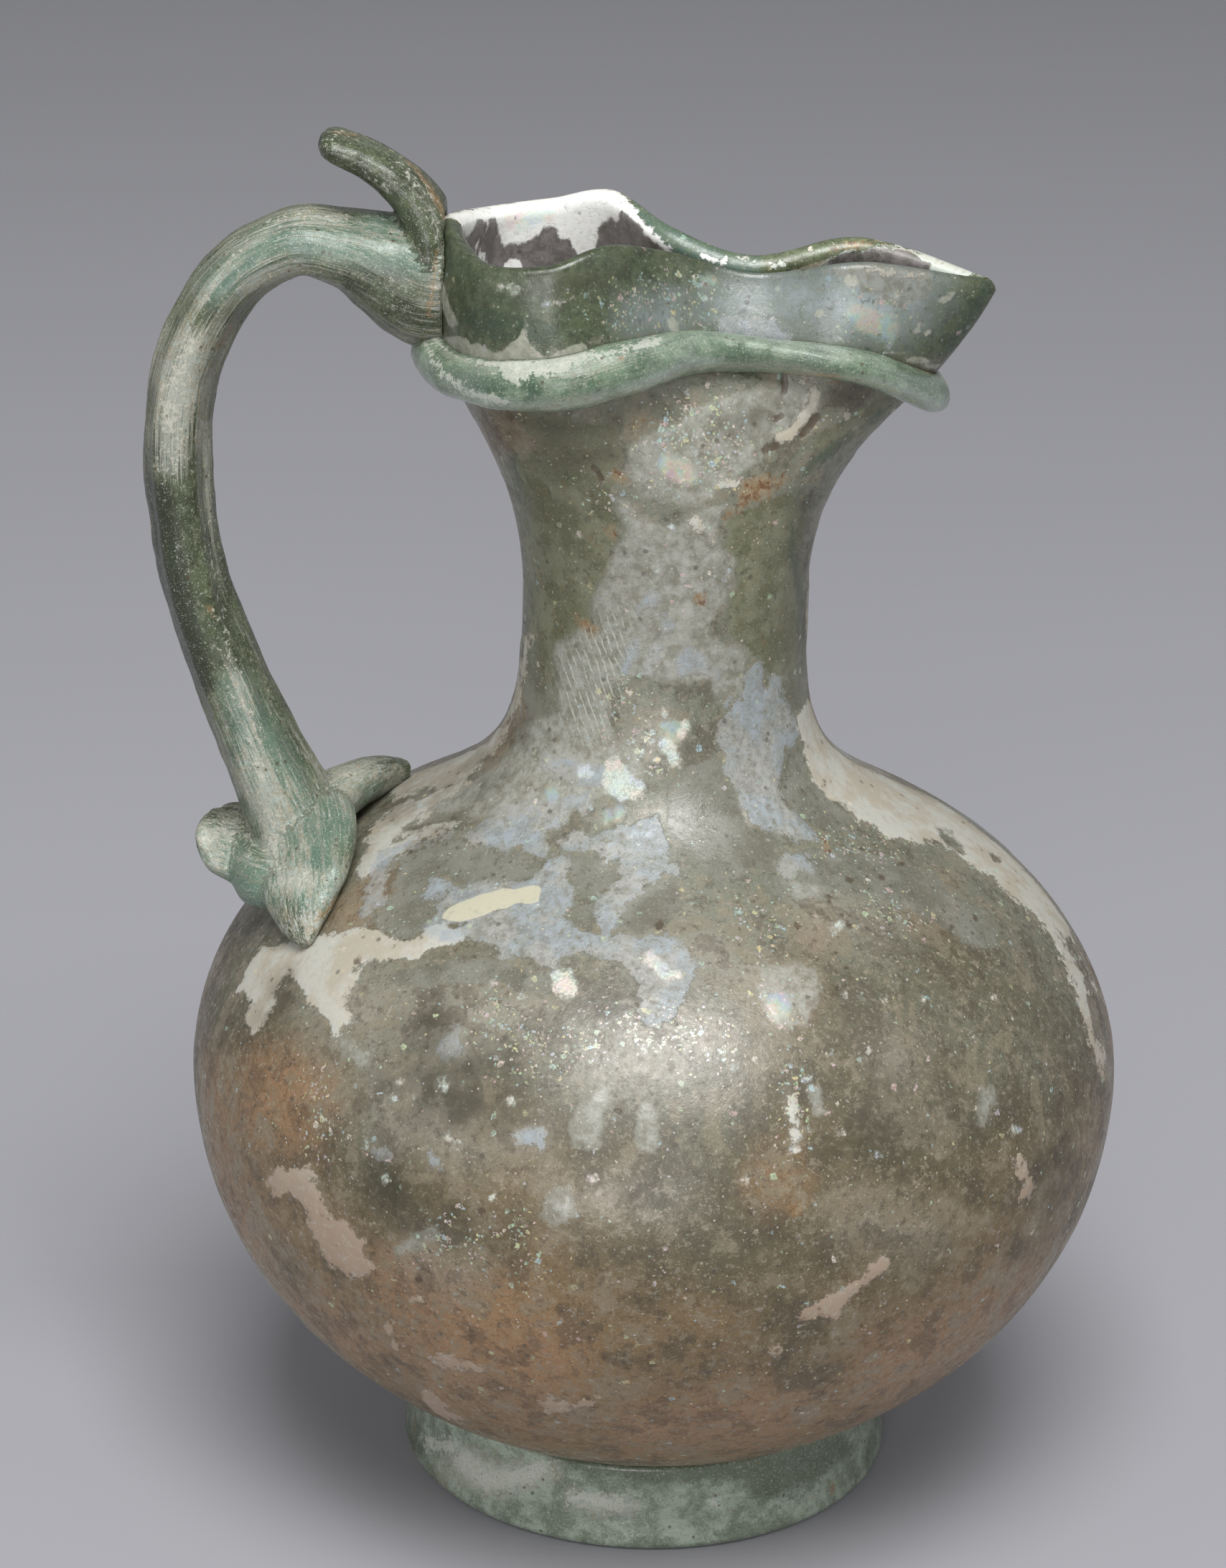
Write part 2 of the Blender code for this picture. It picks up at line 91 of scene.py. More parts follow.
# Foot ring, trail and handle, as in the model
FOOT_RADIUS = 0.0199
FOOT_WAIST = 0.0006
FOOT_THICKNESS = 0.0032
FOOT_EDGE = 0.0009
TRAIL_BULGE = 0.0024
TRAIL_HEIGHT = 0.0040
TRAIL_THIN_HEIGHT = 0.0026
HANDLE_REACH = 0.0375
HANDLE_WIDTH = 0.0088
HANDLE_THICKNESS = 0.0048
ARCH_HEIGHT = 0.1005
CLAW_LATITUDE = math.radians(42)
THUMB_RISE = 0.0060
THUMB_REACH = 0.0090
THUMB_WIDTH = 0.0056
THUMB_THICKNESS = 0.0028
FIN_DEPTH = 0.0094

# The vessel's axis in the model's frame
AXIS_X = (HANDLE_REACH + HANDLE_THICKNESS / 2 - BODY_RADIUS) / 2

# How many rings the mouth's outer wall has, and how many of them turn clear towards the lip
MOUTH_RINGS = 50
LIP_RINGS = 16

# Where the crusted lining begins, over what height it fades in, and how sharply it parts at the middle
LINING_HEIGHT = 0.0905
LINING_FADE = 0.001
LINING_BLEND = 0.0008
CREST_BLEND = 0.0006

# How finely the vessel is divided; the steps are those of the base, lower body, upper body and shoulder
OUTER_SEGMENTS = 400
OUTER_STEPS = (6, 66, 40, 34)
INNER_SEGMENTS = OUTER_SEGMENTS // 2
INNER_STEPS = (3, 14, 9, 8)
INNER_MOUTH_RINGS = 25
CREST_RINGS = 6

# The share of the mouth's height that the inner wall reaches, how high the rounded rim rises, and how
# much closer together the points lie on the photographed side
INNER_TOP = 0.985
CREST_LIFT = 0.4 * RIM_WALL
CROWDING = 0.42

# How finely the other pieces are divided, and the seam left between fused pieces
FOOT_SEGMENTS = 360
TRAIL_SECTIONS = 480
TRAIL_WALL_POINTS = 7
TRAIL_OUTER_POINTS = 25
HANDLE_VOXEL = 0.00022
SEAM = 0.00012

# The heights over which the foot ring's unevenness begins above the floor and ends below the seam
FOOT_FADE = (0.0002, 0.0012)
FOOT_SEAM_FADE = (0.0030, 0.0046)

# How far apart in the noise the places of two seeds lie
SEED_SPACING = 17.3

# Small steps for finding a direction on the mouth's wall
PROBE_SHARE = 0.001
PROBE_ANGLE = math.radians(0.5)

# The cosines towards the camera between which the scattered weathering gives way to what was seen
SEEN_FROM = (0.02, 0.2)
HANDLE_SEEN_FROM = (0.0, 0.2)


def mix(a, b, share):
    """Return the value that lies a share of the way from a to b."""
    return a + (b - a) * share


def smooth_step(values, low, high):
    """Return 0 below low and 1 above high, with a smooth change between."""
    share = np.clip((np.asarray(values) - low) / (high - low), 0, 1)
    return share * share * (3 - 2 * share)


def smooth_drop(values, low, high):
    """Return 1 below low and 0 above high, with a smooth change between."""
    return smooth_step(-values, -high, -low)


def bezier(points, share):
    """Return the point of a cubic Bezier curve at a share of its length."""
    rest = 1 - share
    weights = (rest ** 3, 3 * rest ** 2 * share, 3 * rest * share ** 2, share ** 3)
    return sum(np.asarray(point) * weight for point, weight in zip(points, weights))


def spline(keys, place):
    """Return the values at a place on a smooth curve through (place, values) keys."""
    last = len(keys) - 2
    index = min(max(sum(key[0] <= place for key in keys) - 1, 0), last)

    def slope(i):
        low, high = keys[max(i - 1, 0)], keys[min(i + 1, last + 1)]
        return (high[1] - low[1]) / (high[0] - low[0])

    start, end = keys[index], keys[index + 1]
    span = end[0] - start[0]
    t = (place - start[0]) / span
    return (start[1] * (2 * t ** 3 - 3 * t ** 2 + 1) + slope(index) * span * (t ** 3 - 2 * t ** 2 + t)
            + end[1] * (3 * t ** 2 - 2 * t ** 3) + slope(index + 1) * span * (t ** 3 - t ** 2))


def unit(vectors):
    """Return vectors of length 1."""
    return vectors / np.maximum(np.linalg.norm(vectors, axis=-1, keepdims=True), 1e-12)


def noise_at(points, size, seed, octaves):
    """Return smooth noise of about -1 to 1 at each point, for features of one size."""
    scaled = points.reshape(-1, 3) / size + seed * SEED_SPACING
    values = np.zeros(len(scaled))
    for octave in range(octaves):
        grown = scaled * 2 ** octave
        values += np.array([noise.noise(point) for point in grown]) / 2 ** octave
    return values.reshape(points.shape[:-1])


def unevenness(points, *layers):
    """Return the sum of noises of two octaves, each given as its depth, size and seed."""
    return sum(depth * noise_at(points, size, seed, octaves=2) for depth, size, seed in layers)


def shoulder_point(latitude):
    """Return (radius, height) on the upper half ellipse of the body."""
    return np.array((BODY_RADIUS * math.cos(latitude), BELLY_HEIGHT + UPPER_RISE * math.sin(latitude)))


def lower_height(radius):
    """Return the height of the lower half ellipse at a radius."""
    return BELLY_HEIGHT - LOWER_DEPTH * math.sqrt(1 - (radius / BODY_RADIUS) ** 2)


def body_profile(base_steps, lower_steps, upper_steps, sweep_steps):
    """Return the outer profile as (radius, height, wall), from the base's middle to the neck's waist."""
    profile = []
    base_height = lower_height(BASE_RADIUS)
    for step in range(1, base_steps + 1):
        radius = BASE_RADIUS * step / (base_steps + 1)
        lift = BASE_KICK * (1 + math.cos(math.pi * radius / BASE_RADIUS)) / 2
        profile.append((radius, base_height + lift, BASE_WALL))
    start = -math.acos(BASE_RADIUS / BODY_RADIUS)
    for step in range(lower_steps):
        share = step / lower_steps
        latitude = start * (1 - share)
        wall = mix(BASE_WALL, BODY_WALL, min(1, 2 * share))
        height = BELLY_HEIGHT + LOWER_DEPTH * math.sin(latitude)
        profile.append((BODY_RADIUS * math.cos(latitude), height, wall))
    top = math.acos(SHOULDER_RADIUS / BODY_RADIUS)
    for step in range(upper_steps):
        radius, height = shoulder_point(top * step / upper_steps)
        profile.append((radius, height, BODY_WALL))
    shoulder = shoulder_point(top)
    along = unit(np.array((-BODY_RADIUS * math.sin(top), UPPER_RISE * math.cos(top))))
    waist = np.array((NECK_RADIUS, WAIST_HEIGHT))
    sweep = (shoulder, shoulder + along * SHOULDER_PULL, waist - (0, WAIST_PULL), waist)
    for step in range(sweep_steps):
        share = step / sweep_steps
        radius, height = bezier(sweep, share)
        profile.append((radius, height, mix(BODY_WALL, NECK_WALL, share)))
    return profile


def outward_directions(angles):
    """Return the level directions away from the axis at each angle."""
    return np.stack((np.cos(angles), np.sin(angles), 0 * angles), -1)


def mouth_keys():
    """Return keys of (angle, values) round the mouth, with some to spare past a full turn.

    The values are the rim's x, y and z, the flare's x, y and z, and the trail's place and height.
    """
    low_flare, high_flare = FLARE_HEIGHT, FLARE_HEIGHT + FLARE_LIFT
    slim, even = TRAIL_THIN_HEIGHT, (TRAIL_THIN_HEIGHT + TRAIL_HEIGHT) / 2
    half = [
        (0, SPOUT_REACH, 0, TIP_DROP, FLARE_FRONT, 0, low_flare, 0.70, slim),
        (24, 0.60 * SPOUT_REACH, SPOUT_HALF_WIDTH, 0.65 * PINCH_DROP,
         0.78 * FLARE_FRONT, 0.54 * FLARE_HALF_WIDTH, low_flare, 0.775, slim),
        (50, 0.25 * SPOUT_REACH, PINCH_HALF_WIDTH, PINCH_DROP,
         0.41 * FLARE_FRONT, 0.68 * FLARE_HALF_WIDTH, low_flare, 0.825, slim),
        (72, 0, mix(PINCH_HALF_WIDTH, LOBE_HALF_WIDTH, 0.15), 0.45 * PINCH_DROP,
         0.10 * FLARE_FRONT, 0.76 * FLARE_HALF_WIDTH, low_flare, 0.805, even),
        (94, -0.25 * BACK_REACH, mix(PINCH_HALF_WIDTH, LOBE_HALF_WIDTH, 0.74), 0,
         -0.20 * FLARE_BACK, 0.90 * FLARE_HALF_WIDTH, high_flare, 0.75, TRAIL_HEIGHT),
        (118, -0.53 * BACK_REACH, LOBE_HALF_WIDTH, 0.36 * PINCH_DROP,
         -0.48 * FLARE_BACK, FLARE_HALF_WIDTH, high_flare, 0.73, TRAIL_HEIGHT),
        (150, -0.84 * BACK_REACH, 0.79 * LOBE_HALF_WIDTH, 0.45 * PINCH_DROP,
         -0.85 * FLARE_BACK, 0.72 * FLARE_HALF_WIDTH, high_flare, 0.72, even),
        (180, -BACK_REACH, 0, 0.10 * PINCH_DROP, -FLARE_BACK, 0, high_flare, 0.70, even),
    ]
    keys = []
    for angle, x, y, drop, *rest in half:
        keys.append((angle, np.array((x, y, RIM_HEIGHT - drop, *rest))))
    flip = np.array((1, -1, 1, 1, -1, 1, 1, 1))
    far = [(360 - angle, values * flip) for angle, values in keys]
    keys += far[-2::-1]
    before = [(angle - 360, values) for angle, values in keys[-3:-1]]
    after = [(angle + 360, values) for angle, values in keys[1:3]]
    return before + keys + after


def mouth_values(angles):
    """Return the mouth's values at each angle, in radians."""
    keys = mouth_keys()
    return np.array([spline(keys, math.degrees(angle) % 360) for angle in angles])


def mouth_points(values, angles, share):
    """Return points of the mouth's outer wall, from the waist (share 0) to the rim (share 1)."""
    turn = outward_directions(angles) * NECK_RADIUS
    flare, rim = values[:, 3:6], values[:, 0:3]
    share = np.asarray(share)[..., None] if np.ndim(share) else share
    return bezier((turn + (0, 0, WAIST_HEIGHT), turn + (0, 0, FLARE_HEIGHT), flare, rim), share)


def turn_angles(count):
    """Return evenly spaced angles of a full turn."""
    return 2 * math.pi * np.arange(count) / count


def near_angles(count):
    """Return angles of a full turn that lie closer together on the photographed side."""
    even = turn_angles(count)
    return even - CROWDING * np.cos(even)


def vessel_grid(segments, profile_steps, mouth_shares):
    """Return the outer wall as rings of points from the base up to the rim, and each ring's wall."""
    angles = near_angles(segments)
    across = outward_directions(angles)
    rings, walls = [], []
    for radius, height, wall in body_profile(*profile_steps):
        rings.append(across * radius + (0, 0, height))
        walls.append(wall)
    values = mouth_values(angles)
    for share in mouth_shares:
        rings.append(mouth_points(values, angles, share))
        walls.append(mix(NECK_WALL, RIM_WALL, share))
    return np.array(rings), np.array(walls)


def grid_normals(grid):
    """Return the outward normals of rings of points that go round anticlockwise and upwards."""
    around = np.roll(grid, -1, 1) - np.roll(grid, 1, 1)
    up_wall = np.gradient(grid, axis=0)
    return unit(np.cross(around, up_wall))


def camera_axes():
    """Return the photograph's right, up and forward directions."""
    forward = np.array((0, math.cos(CAMERA_PITCH), -math.sin(CAMERA_PITCH)))
    level = np.array((1.0, 0, 0))
    straight_up = np.cross(level, forward)
    right = math.cos(CAMERA_ROLL) * level + math.sin(CAMERA_ROLL) * straight_up
    up = math.cos(CAMERA_ROLL) * straight_up - math.sin(CAMERA_ROLL) * level
    return right, up, forward


def photo_pixels(points):
    """Return where points of the jug, measured from the vessel's axis, lie in the photograph."""
    right, up, forward = camera_axes()
    focal = LENS / SENSOR_HEIGHT * PHOTO_HEIGHT
    ray = points + (AXIS_X, 0, 0) - np.array(CAMERA_PLACE)
    depth = ray @ forward
    across = PHOTO_WIDTH / 2 + focal * (ray @ right) / depth
    down = PHOTO_HEIGHT / 2 - focal * (ray @ up) / depth
    return np.stack((across, down), -1)


def facing(points, normals):
    """Return the cosine between each normal and the direction to the photograph's camera."""
    ray = unit(np.array(CAMERA_PLACE) - (AXIS_X, 0, 0) - points)
    return (ray * normals).sum(-1)


def stroke_gap(pixels, stroke):
    """Return the distance in pixels from a stroke of (x, y, half width) points, below 0 inside it."""
    best = np.full(pixels.shape[:-1], np.inf)
    places = stroke if len(stroke) > 1 else stroke * 2
    for (x0, y0, w0), (x1, y1, w1) in zip(places, places[1:]):
        start, step = np.array((x0, y0)), np.array((x1 - x0, y1 - y0))
        share = np.clip(((pixels - start) @ step) / max(step @ step, 1e-9), 0, 1)
        nearest = start + share[..., None] * step
        gap = np.linalg.norm(pixels - nearest, axis=-1) - mix(w0, w1, share)
        best = np.minimum(best, gap)
    return best


def outline_gap(pixels, corners):
    """Return the distance in pixels from a closed outline of (x, y) corners, below 0 inside it."""
    across, down = pixels[..., 0], pixels[..., 1]
    closed = corners + corners[:1]
    inside = np.zeros(across.shape, bool)
    for (x0, y0), (x1, y1) in zip(closed, closed[1:]):
        if y0 != y1:
            spans = (down < y0) != (down < y1)
            inside ^= spans & (across < x0 + (x1 - x0) * (down - y0) / (y1 - y0))
    edge = stroke_gap(pixels, [(x, y, 0) for x, y in closed])
    return np.where(inside, -edge, edge)


def drawn_field(pixels, shapes, soft, spread=0):
    """Return 1 inside strokes and outlines, 0 outside, 0.5 on their edges."""
    best = np.full(pixels.shape[:-1], np.inf)
    for shape in shapes:
        gap = stroke_gap(pixels, shape) if len(shape[0]) == 3 else outline_gap(pixels, shape)
        best = np.minimum(best, gap - spread)
    return np.clip(0.5 - best / (2 * soft), 0, 1)


def drawn_layers(points, layers, soft):
    """Return the drawn field of each layer at points of the jug."""
    pixels = photo_pixels(points)
    return {name: drawn_field(pixels, shapes.values(), soft) for name, shapes in layers.items()}


def lone(groups):
    """Return each point of some rows of points as a stroke of its own."""
    strokes = {}
    for name, row in groups.items():
        for number, point in enumerate(row):
            strokes[name, number] = [point]
    return strokes


# Places of the weathering in the photograph, in its pixels: a stroke is a list of (x, y, half width)
# points, and an outline is a list of (x, y) corners

ENAMEL = {
    "label_ledge": [
        (622, 1250), (600, 1254), (583, 1247), (592, 1232), (600, 1222), (612, 1219), (624, 1228),
        (637, 1234), (660, 1229), (697, 1227), (718, 1231), (740, 1224), (752, 1211), (758, 1202),
        (772, 1197), (790, 1200), (794, 1215), (790, 1228), (803, 1238), (804, 1252), (793, 1264),
        (788, 1278), (800, 1291), (818, 1299), (850, 1304), (880, 1301), (905, 1304), (935, 1304),
        (955, 1318), (978, 1345), (969, 1366), (955, 1387), (942, 1422), (921, 1433), (897, 1430),
        (882, 1405), (893, 1388), (886, 1366), (872, 1347), (850, 1336), (828, 1330), (806, 1325),
        (790, 1327), (780, 1337), (777, 1352), (764, 1352), (750, 1343), (740, 1331), (722, 1329),
        (712, 1338), (705, 1352), (699, 1338), (690, 1318), (660, 1308), (630, 1312), (590, 1300),
        (582, 1298), (596, 1283),
    ],
    "upper_band": [
        (540, 1217), (557, 1190), (581, 1181), (603, 1173), (628, 1162), (644, 1165), (661, 1176),
        (674, 1181), (699, 1184), (721, 1180), (743, 1191), (765, 1192), (773, 1184), (789, 1184),
        (819, 1179), (830, 1184), (839, 1198), (844, 1203), (863, 1198), (858, 1209), (874, 1216),
        (858, 1228), (852, 1239), (834, 1247), (832, 1268), (836, 1286), (848, 1304), (862, 1290),
        (868, 1268), (884, 1250), (900, 1236), (922, 1226), (943, 1214), (950, 1206), (935, 1198),
        (905, 1200), (935, 1188), (931, 1172), (921, 1150), (913, 1136), (895, 1144), (880, 1151),
        (863, 1149), (844, 1157), (822, 1166), (808, 1157), (797, 1160), (784, 1177), (767, 1177),
        (756, 1173), (756, 1162), (770, 1160), (784, 1151), (795, 1129), (806, 1121), (808, 1135),
        (817, 1140), (828, 1112), (815, 1100), (790, 1110), (760, 1116), (740, 1112), (712, 1120),
        (690, 1134), (672, 1142), (668, 1152), (650, 1158), (620, 1158), (590, 1168), (560, 1176),
        (535, 1180), (520, 1200), (515, 1230), (500, 1262), (505, 1285), (530, 1262), (540, 1240),
    ],
    "right_column": [
        (1037, 937), (1054, 922), (1063, 940), (1060, 960), (1068, 960), (1075, 940), (1090, 943),
        (1084, 964), (1096, 982), (1108, 998), (1112, 1020), (1105, 1040), (1090, 1043), (1084, 1061),
        (1079, 1090), (1086, 1113), (1098, 1120), (1112, 1141), (1129, 1158), (1138, 1176),
        (1122, 1176), (1101, 1168), (1088, 1162), (1067, 1155), (1042, 1141), (1035, 1120),
        (1022, 1099), (1008, 1075), (1004, 1040), (1001, 1017), (1013, 996), (1010, 975), (1031, 973),
    ],
    "right_spot": [
        (1091, 1189), (1115, 1189), (1140, 1207), (1136, 1214), (1108, 1214), (1101, 1228),
        (1084, 1214), (1088, 1196),
    ],
    "oval": [
        (625, 1437), (635, 1422), (641, 1445), (646, 1462), (638, 1478), (624, 1482), (610, 1472),
        (606, 1458), (612, 1446),
    ],
    "patch_middle": [
        (706, 1585), (715, 1573), (735, 1575), (750, 1568), (762, 1570), (757, 1590), (760, 1602),
        (745, 1603), (730, 1596), (712, 1593),
    ],
    "patch_left": [(520, 1600), (535, 1600), (550, 1610), (552, 1628), (540, 1625), (528, 1618)],
    "patch_small": [(592, 1605), (605, 1600), (612, 1612), (615, 1622), (605, 1622), (598, 1615)],
    "bar_upper": [(895, 852, 9), (915, 830, 9)],
    "bar_left": [(874, 938, 8), (884, 898, 9)],
    "bar_middle": [(905, 935, 9), (920, 900, 9)],
    "core": [(945, 935, 9), (965, 918, 13), (985, 930, 10), (1000, 945, 6)],
    "islet": [(928, 870, 10)],
    "neck_foot": [(770, 1065, 16), (830, 1080, 14)],
    "above_trail": [(1000, 442), (1050, 438), (1070, 442), (1100, 464), (1098, 478), (1000, 478)],
}

CREAM = {
    "spout_line": [(1172, 384, 3), (1230, 381, 5), (1290, 386, 4)],
    "claw_side": [(508, 1212, 12), (530, 1168, 17), (560, 1138, 16), (600, 1118, 10), (650, 1088, 7)],
    "claw_side_low": [(545, 1190, 9), (580, 1165, 7), (630, 1150, 5)],
    "shoulder_left": [
        (326, 1385), (340, 1362), (352, 1340), (362, 1318), (400, 1314), (430, 1312), (455, 1302),
        (500, 1291), (528, 1297), (545, 1306), (562, 1312), (582, 1298), (600, 1290), (640, 1290),
        (660, 1308), (630, 1314), (600, 1325), (575, 1333), (545, 1336), (515, 1338), (500, 1350),
        (490, 1370), (478, 1398), (489, 1415), (478, 1438), (466, 1444), (458, 1425), (445, 1408),
        (425, 1398), (432, 1392), (420, 1380), (412, 1362), (400, 1352), (392, 1372), (382, 1398),
        (370, 1425), (352, 1436), (340, 1420), (350, 1400), (346, 1384),
    ],
    "shoulder_right": [
        (1122, 1040), (1126, 1068), (1136, 1089), (1150, 1106), (1171, 1113), (1188, 1130),
        (1199, 1151), (1223, 1155), (1247, 1168), (1275, 1175), (1292, 1170), (1312, 1180),
        (1334, 1189), (1352, 1207), (1383, 1224), (1400, 1241), (1421, 1262), (1442, 1276),
        (1466, 1296), (1500, 1310), (1500, 1270), (1470, 1225), (1430, 1180), (1390, 1140),
        (1340, 1098), (1290, 1065), (1230, 1038), (1180, 1025), (1160, 1010), (1145, 985), (1138, 965),
        (1128, 973), (1118, 985), (1108, 998), (1112, 1020),
    ],
    "right_strip": [
        (1463, 1290, 7), (1484, 1328, 6), (1503, 1364, 8), (1511, 1406, 6), (1519, 1440, 5),
        (1532, 1471, 6), (1542, 1501, 4),
    ],
    "right_line": [(1459, 1245, 5), (1492, 1291, 5), (1513, 1337, 5), (1530, 1387, 4)],
    "low_left": [
        (371, 1645), (388, 1626), (417, 1631), (437, 1616), (442, 1632), (434, 1645), (447, 1670),
        (463, 1694), (489, 1711), (508, 1728), (503, 1748), (521, 1764), (514, 1778), (484, 1779),
        (462, 1762), (442, 1739), (432, 1715), (427, 1688), (405, 1662), (383, 1666),
    ],
    "low_a": [(541, 1848, 7), (549, 1874, 6)],
    "low_b": [(577, 1809, 7)],
    "low_c": [
        (600, 1893), (617, 1886), (650, 1893), (680, 1905), (676, 1912), (640, 1908), (612, 1902),
    ],
    "low_d": [
        (752, 1952), (775, 1948), (800, 1952), (835, 1943), (832, 1953), (805, 1963), (775, 1966),
        (757, 1962),
    ],
    "base_left": [
        (587, 1934), (600, 1938), (620, 1955), (640, 1975), (672, 2005), (650, 2005), (620, 1985),
        (600, 1968), (588, 1950),
    ],
    "base_edge": [(536, 1947, 6), (580, 1960, 6)],
    "low_flecks": [(515, 1815, 5)],
    "right_drip": [
        (1093, 1520), (1108, 1520), (1112, 1545), (1116, 1570), (1114, 1600), (1104, 1604),
        (1100, 1575), (1100, 1550),
    ],
    "right_patch": [
        (1112, 1832), (1118, 1815), (1150, 1806), (1180, 1790), (1205, 1768), (1225, 1748),
        (1236, 1752), (1244, 1765), (1230, 1778), (1205, 1785), (1190, 1800), (1172, 1825),
        (1160, 1838), (1140, 1832), (1125, 1838),
    ],
    "right_dash": [(1258, 1741, 5)],
    "right_streak": [
        (1412, 1610), (1420, 1605), (1432, 1630), (1440, 1650), (1436, 1668), (1420, 1668),
        (1425, 1645), (1415, 1630),
    ],
    "ring_low": [(1079, 1885, 9)],
    "shoulder_edge": [
        (600, 1061), (633, 1039), (660, 1039), (677, 1035), (692, 1010), (707, 1010), (704, 1036),
        (683, 1056), (666, 1072), (644, 1086), (622, 1097), (589, 1099), (568, 1110), (548, 1129),
        (545, 1094), (559, 1070),
    ],
    "neck_left_edge": [(738, 886, 6), (734, 910, 8), (724, 940, 5), (717, 975, 6), (708, 1005, 7)],
    "neck_cream": [(968, 725, 8), (985, 738, 4), (994, 755, 4)],
    "neck_bits": [(1003, 676, 6), (1024, 674, 6)],
    "under_lip": [(1085, 612, 6), (1110, 596, 7), (1130, 570, 8), (1135, 545, 7)],
    "under_lip_fleck": [(1168, 574, 4), (1178, 582, 4)],
}

LIP_FLAKES = {
    "seam": [
        (600, 458), (620, 470), (644, 470), (653, 474), (657, 485), (660, 477), (669, 479), (673, 485),
        (684, 490), (693, 492), (702, 488), (715, 485), (706, 478), (719, 478), (724, 470), (730, 460),
        (737, 465), (733, 472), (741, 483), (753, 496), (764, 499), (777, 490), (783, 492), (790, 485),
        (814, 479), (819, 490), (834, 492), (865, 488), (870, 483), (887, 479), (903, 470), (918, 470),
        (923, 479), (898, 485), (865, 491), (821, 502), (795, 511), (781, 517), (768, 524), (741, 524),
        (724, 533), (715, 535), (706, 525), (688, 512), (666, 505), (644, 497), (622, 487), (600, 474),
    ],
    "left_streak": [(612, 385, 3), (620, 420, 5), (632, 450, 6)],
    "fleck_right": [(936, 446, 4), (942, 456, 6)],
    "spot_middle": [(983, 419, 4)],
    "spot_crown": [(1182, 388, 8), (1190, 396, 6)],
    "spot_high": [(1107, 394, 3)],
    "spot_high_left": [(1083, 401, 3)],
    "bubble_left": [(1143, 436, 6)],
    "bubble_brown": [(1247, 415, 6)],
    "bubble_pair": [(1279, 457, 6)],
    "bubble_pair_low": [(1292, 466, 5)],
    "chip_right": [(1314, 419, 4), (1326, 409, 4)],
    "seam_right": [(1233, 491, 2), (1262, 497, 3), (1284, 504, 5), (1305, 512, 3), (1324, 520, 3)],
}

BARE = {
    "neck_island": [
        (934, 760), (948, 760), (963, 763), (978, 756), (989, 763), (988, 796), (978, 787), (963, 778),
        (950, 784), (939, 772),
    ],
    "neck_smudge": [(940, 806, 8), (948, 835, 9)],
    "neck_crescent": [(975, 862, 3), (990, 838, 4), (1006, 822, 3)],
    "shoulder_hole": [
        (1303, 1155), (1317, 1156), (1331, 1168), (1348, 1189), (1338, 1189), (1317, 1179),
    ],
    "shoulder_mark": [(1378, 1192, 3), (1392, 1199, 3)],
    "left_islet": [(404, 1416), (418, 1408), (440, 1412), (443, 1428), (430, 1440), (410, 1438)],
    "band_gap": [(650, 1285, 4), (632, 1290, 5)],
    "low_ring": [(1080, 1886, 4)],
}

VEIL = {
    "spout_top": [
        (1120, 382), (1147, 380), (1168, 373), (1189, 368), (1221, 369), (1263, 372), (1295, 374),
        (1305, 384), (1303, 395), (1299, 409), (1284, 418), (1263, 435), (1248, 426), (1211, 412),
        (1181, 401), (1164, 388),
    ],
    "neck": [
        (854, 690), (869, 722), (872, 748), (856, 764), (846, 782), (844, 797), (848, 815), (832, 822),
        (820, 838), (833, 858), (832, 880), (803, 878), (797, 896), (777, 896), (768, 914), (777, 937),
        (774, 970), (777, 996), (760, 1002), (733, 1003), (722, 1020), (716, 1046), (700, 1070),
        (670, 1100), (640, 1130), (690, 1140), (760, 1125), (830, 1110), (900, 1085), (890, 1050),
        (860, 1035), (850, 1000), (850, 960), (880, 948), (905, 945), (940, 950), (985, 950),
        (1000, 965), (1035, 975), (1030, 940), (1040, 920), (1045, 905), (1030, 898), (1010, 895),
        (985, 885), (992, 861), (1013, 840), (1024, 812), (1023, 793), (1031, 781), (1005, 763),
        (1003, 745), (1007, 716), (1015, 700), (990, 705), (960, 715), (940, 735), (905, 725),
        (880, 700),
    ],
    "under_lip": [
        (870, 650), (890, 610), (940, 590), (980, 560), (1060, 540), (1150, 535), (1145, 560),
        (1125, 592), (1080, 612), (1060, 650), (1020, 665), (990, 700), (940, 705), (890, 690),
    ],
    "shoulder_strata": [(560, 1140, 10), (620, 1120, 12), (690, 1085, 12), (725, 1050, 8)],
    "column": [
        (800, 1598), (797, 1570), (805, 1545), (815, 1530), (830, 1515), (845, 1512), (848, 1530),
        (840, 1560), (838, 1595), (820, 1600),
    ],
    "column_right": [(900, 1550, 12), (905, 1590, 14)],
    "low_middle": [
        (755, 1665), (775, 1650), (790, 1660), (798, 1680), (793, 1700), (770, 1712), (752, 1700),
    ],
    "beside_drip": [(1134, 1518, 9), (1145, 1545, 9)],
    "right_side": [(1372, 1520, 10), (1370, 1560, 8)],
    "centre": [
        (1055, 1346), (1090, 1340), (1140, 1350), (1140, 1395), (1120, 1432), (1085, 1434),
        (1060, 1405),
    ],
    "faint_left": [(475, 1452, 8), (508, 1478, 10)],
    "faint_low": [(600, 1715, 12), (560, 1740, 10)],
    "olive_step": [(1110, 1240, 14), (1150, 1245, 8)],
    "right_of_bar": [(1192, 850, 3), (1196, 826, 4)],
}

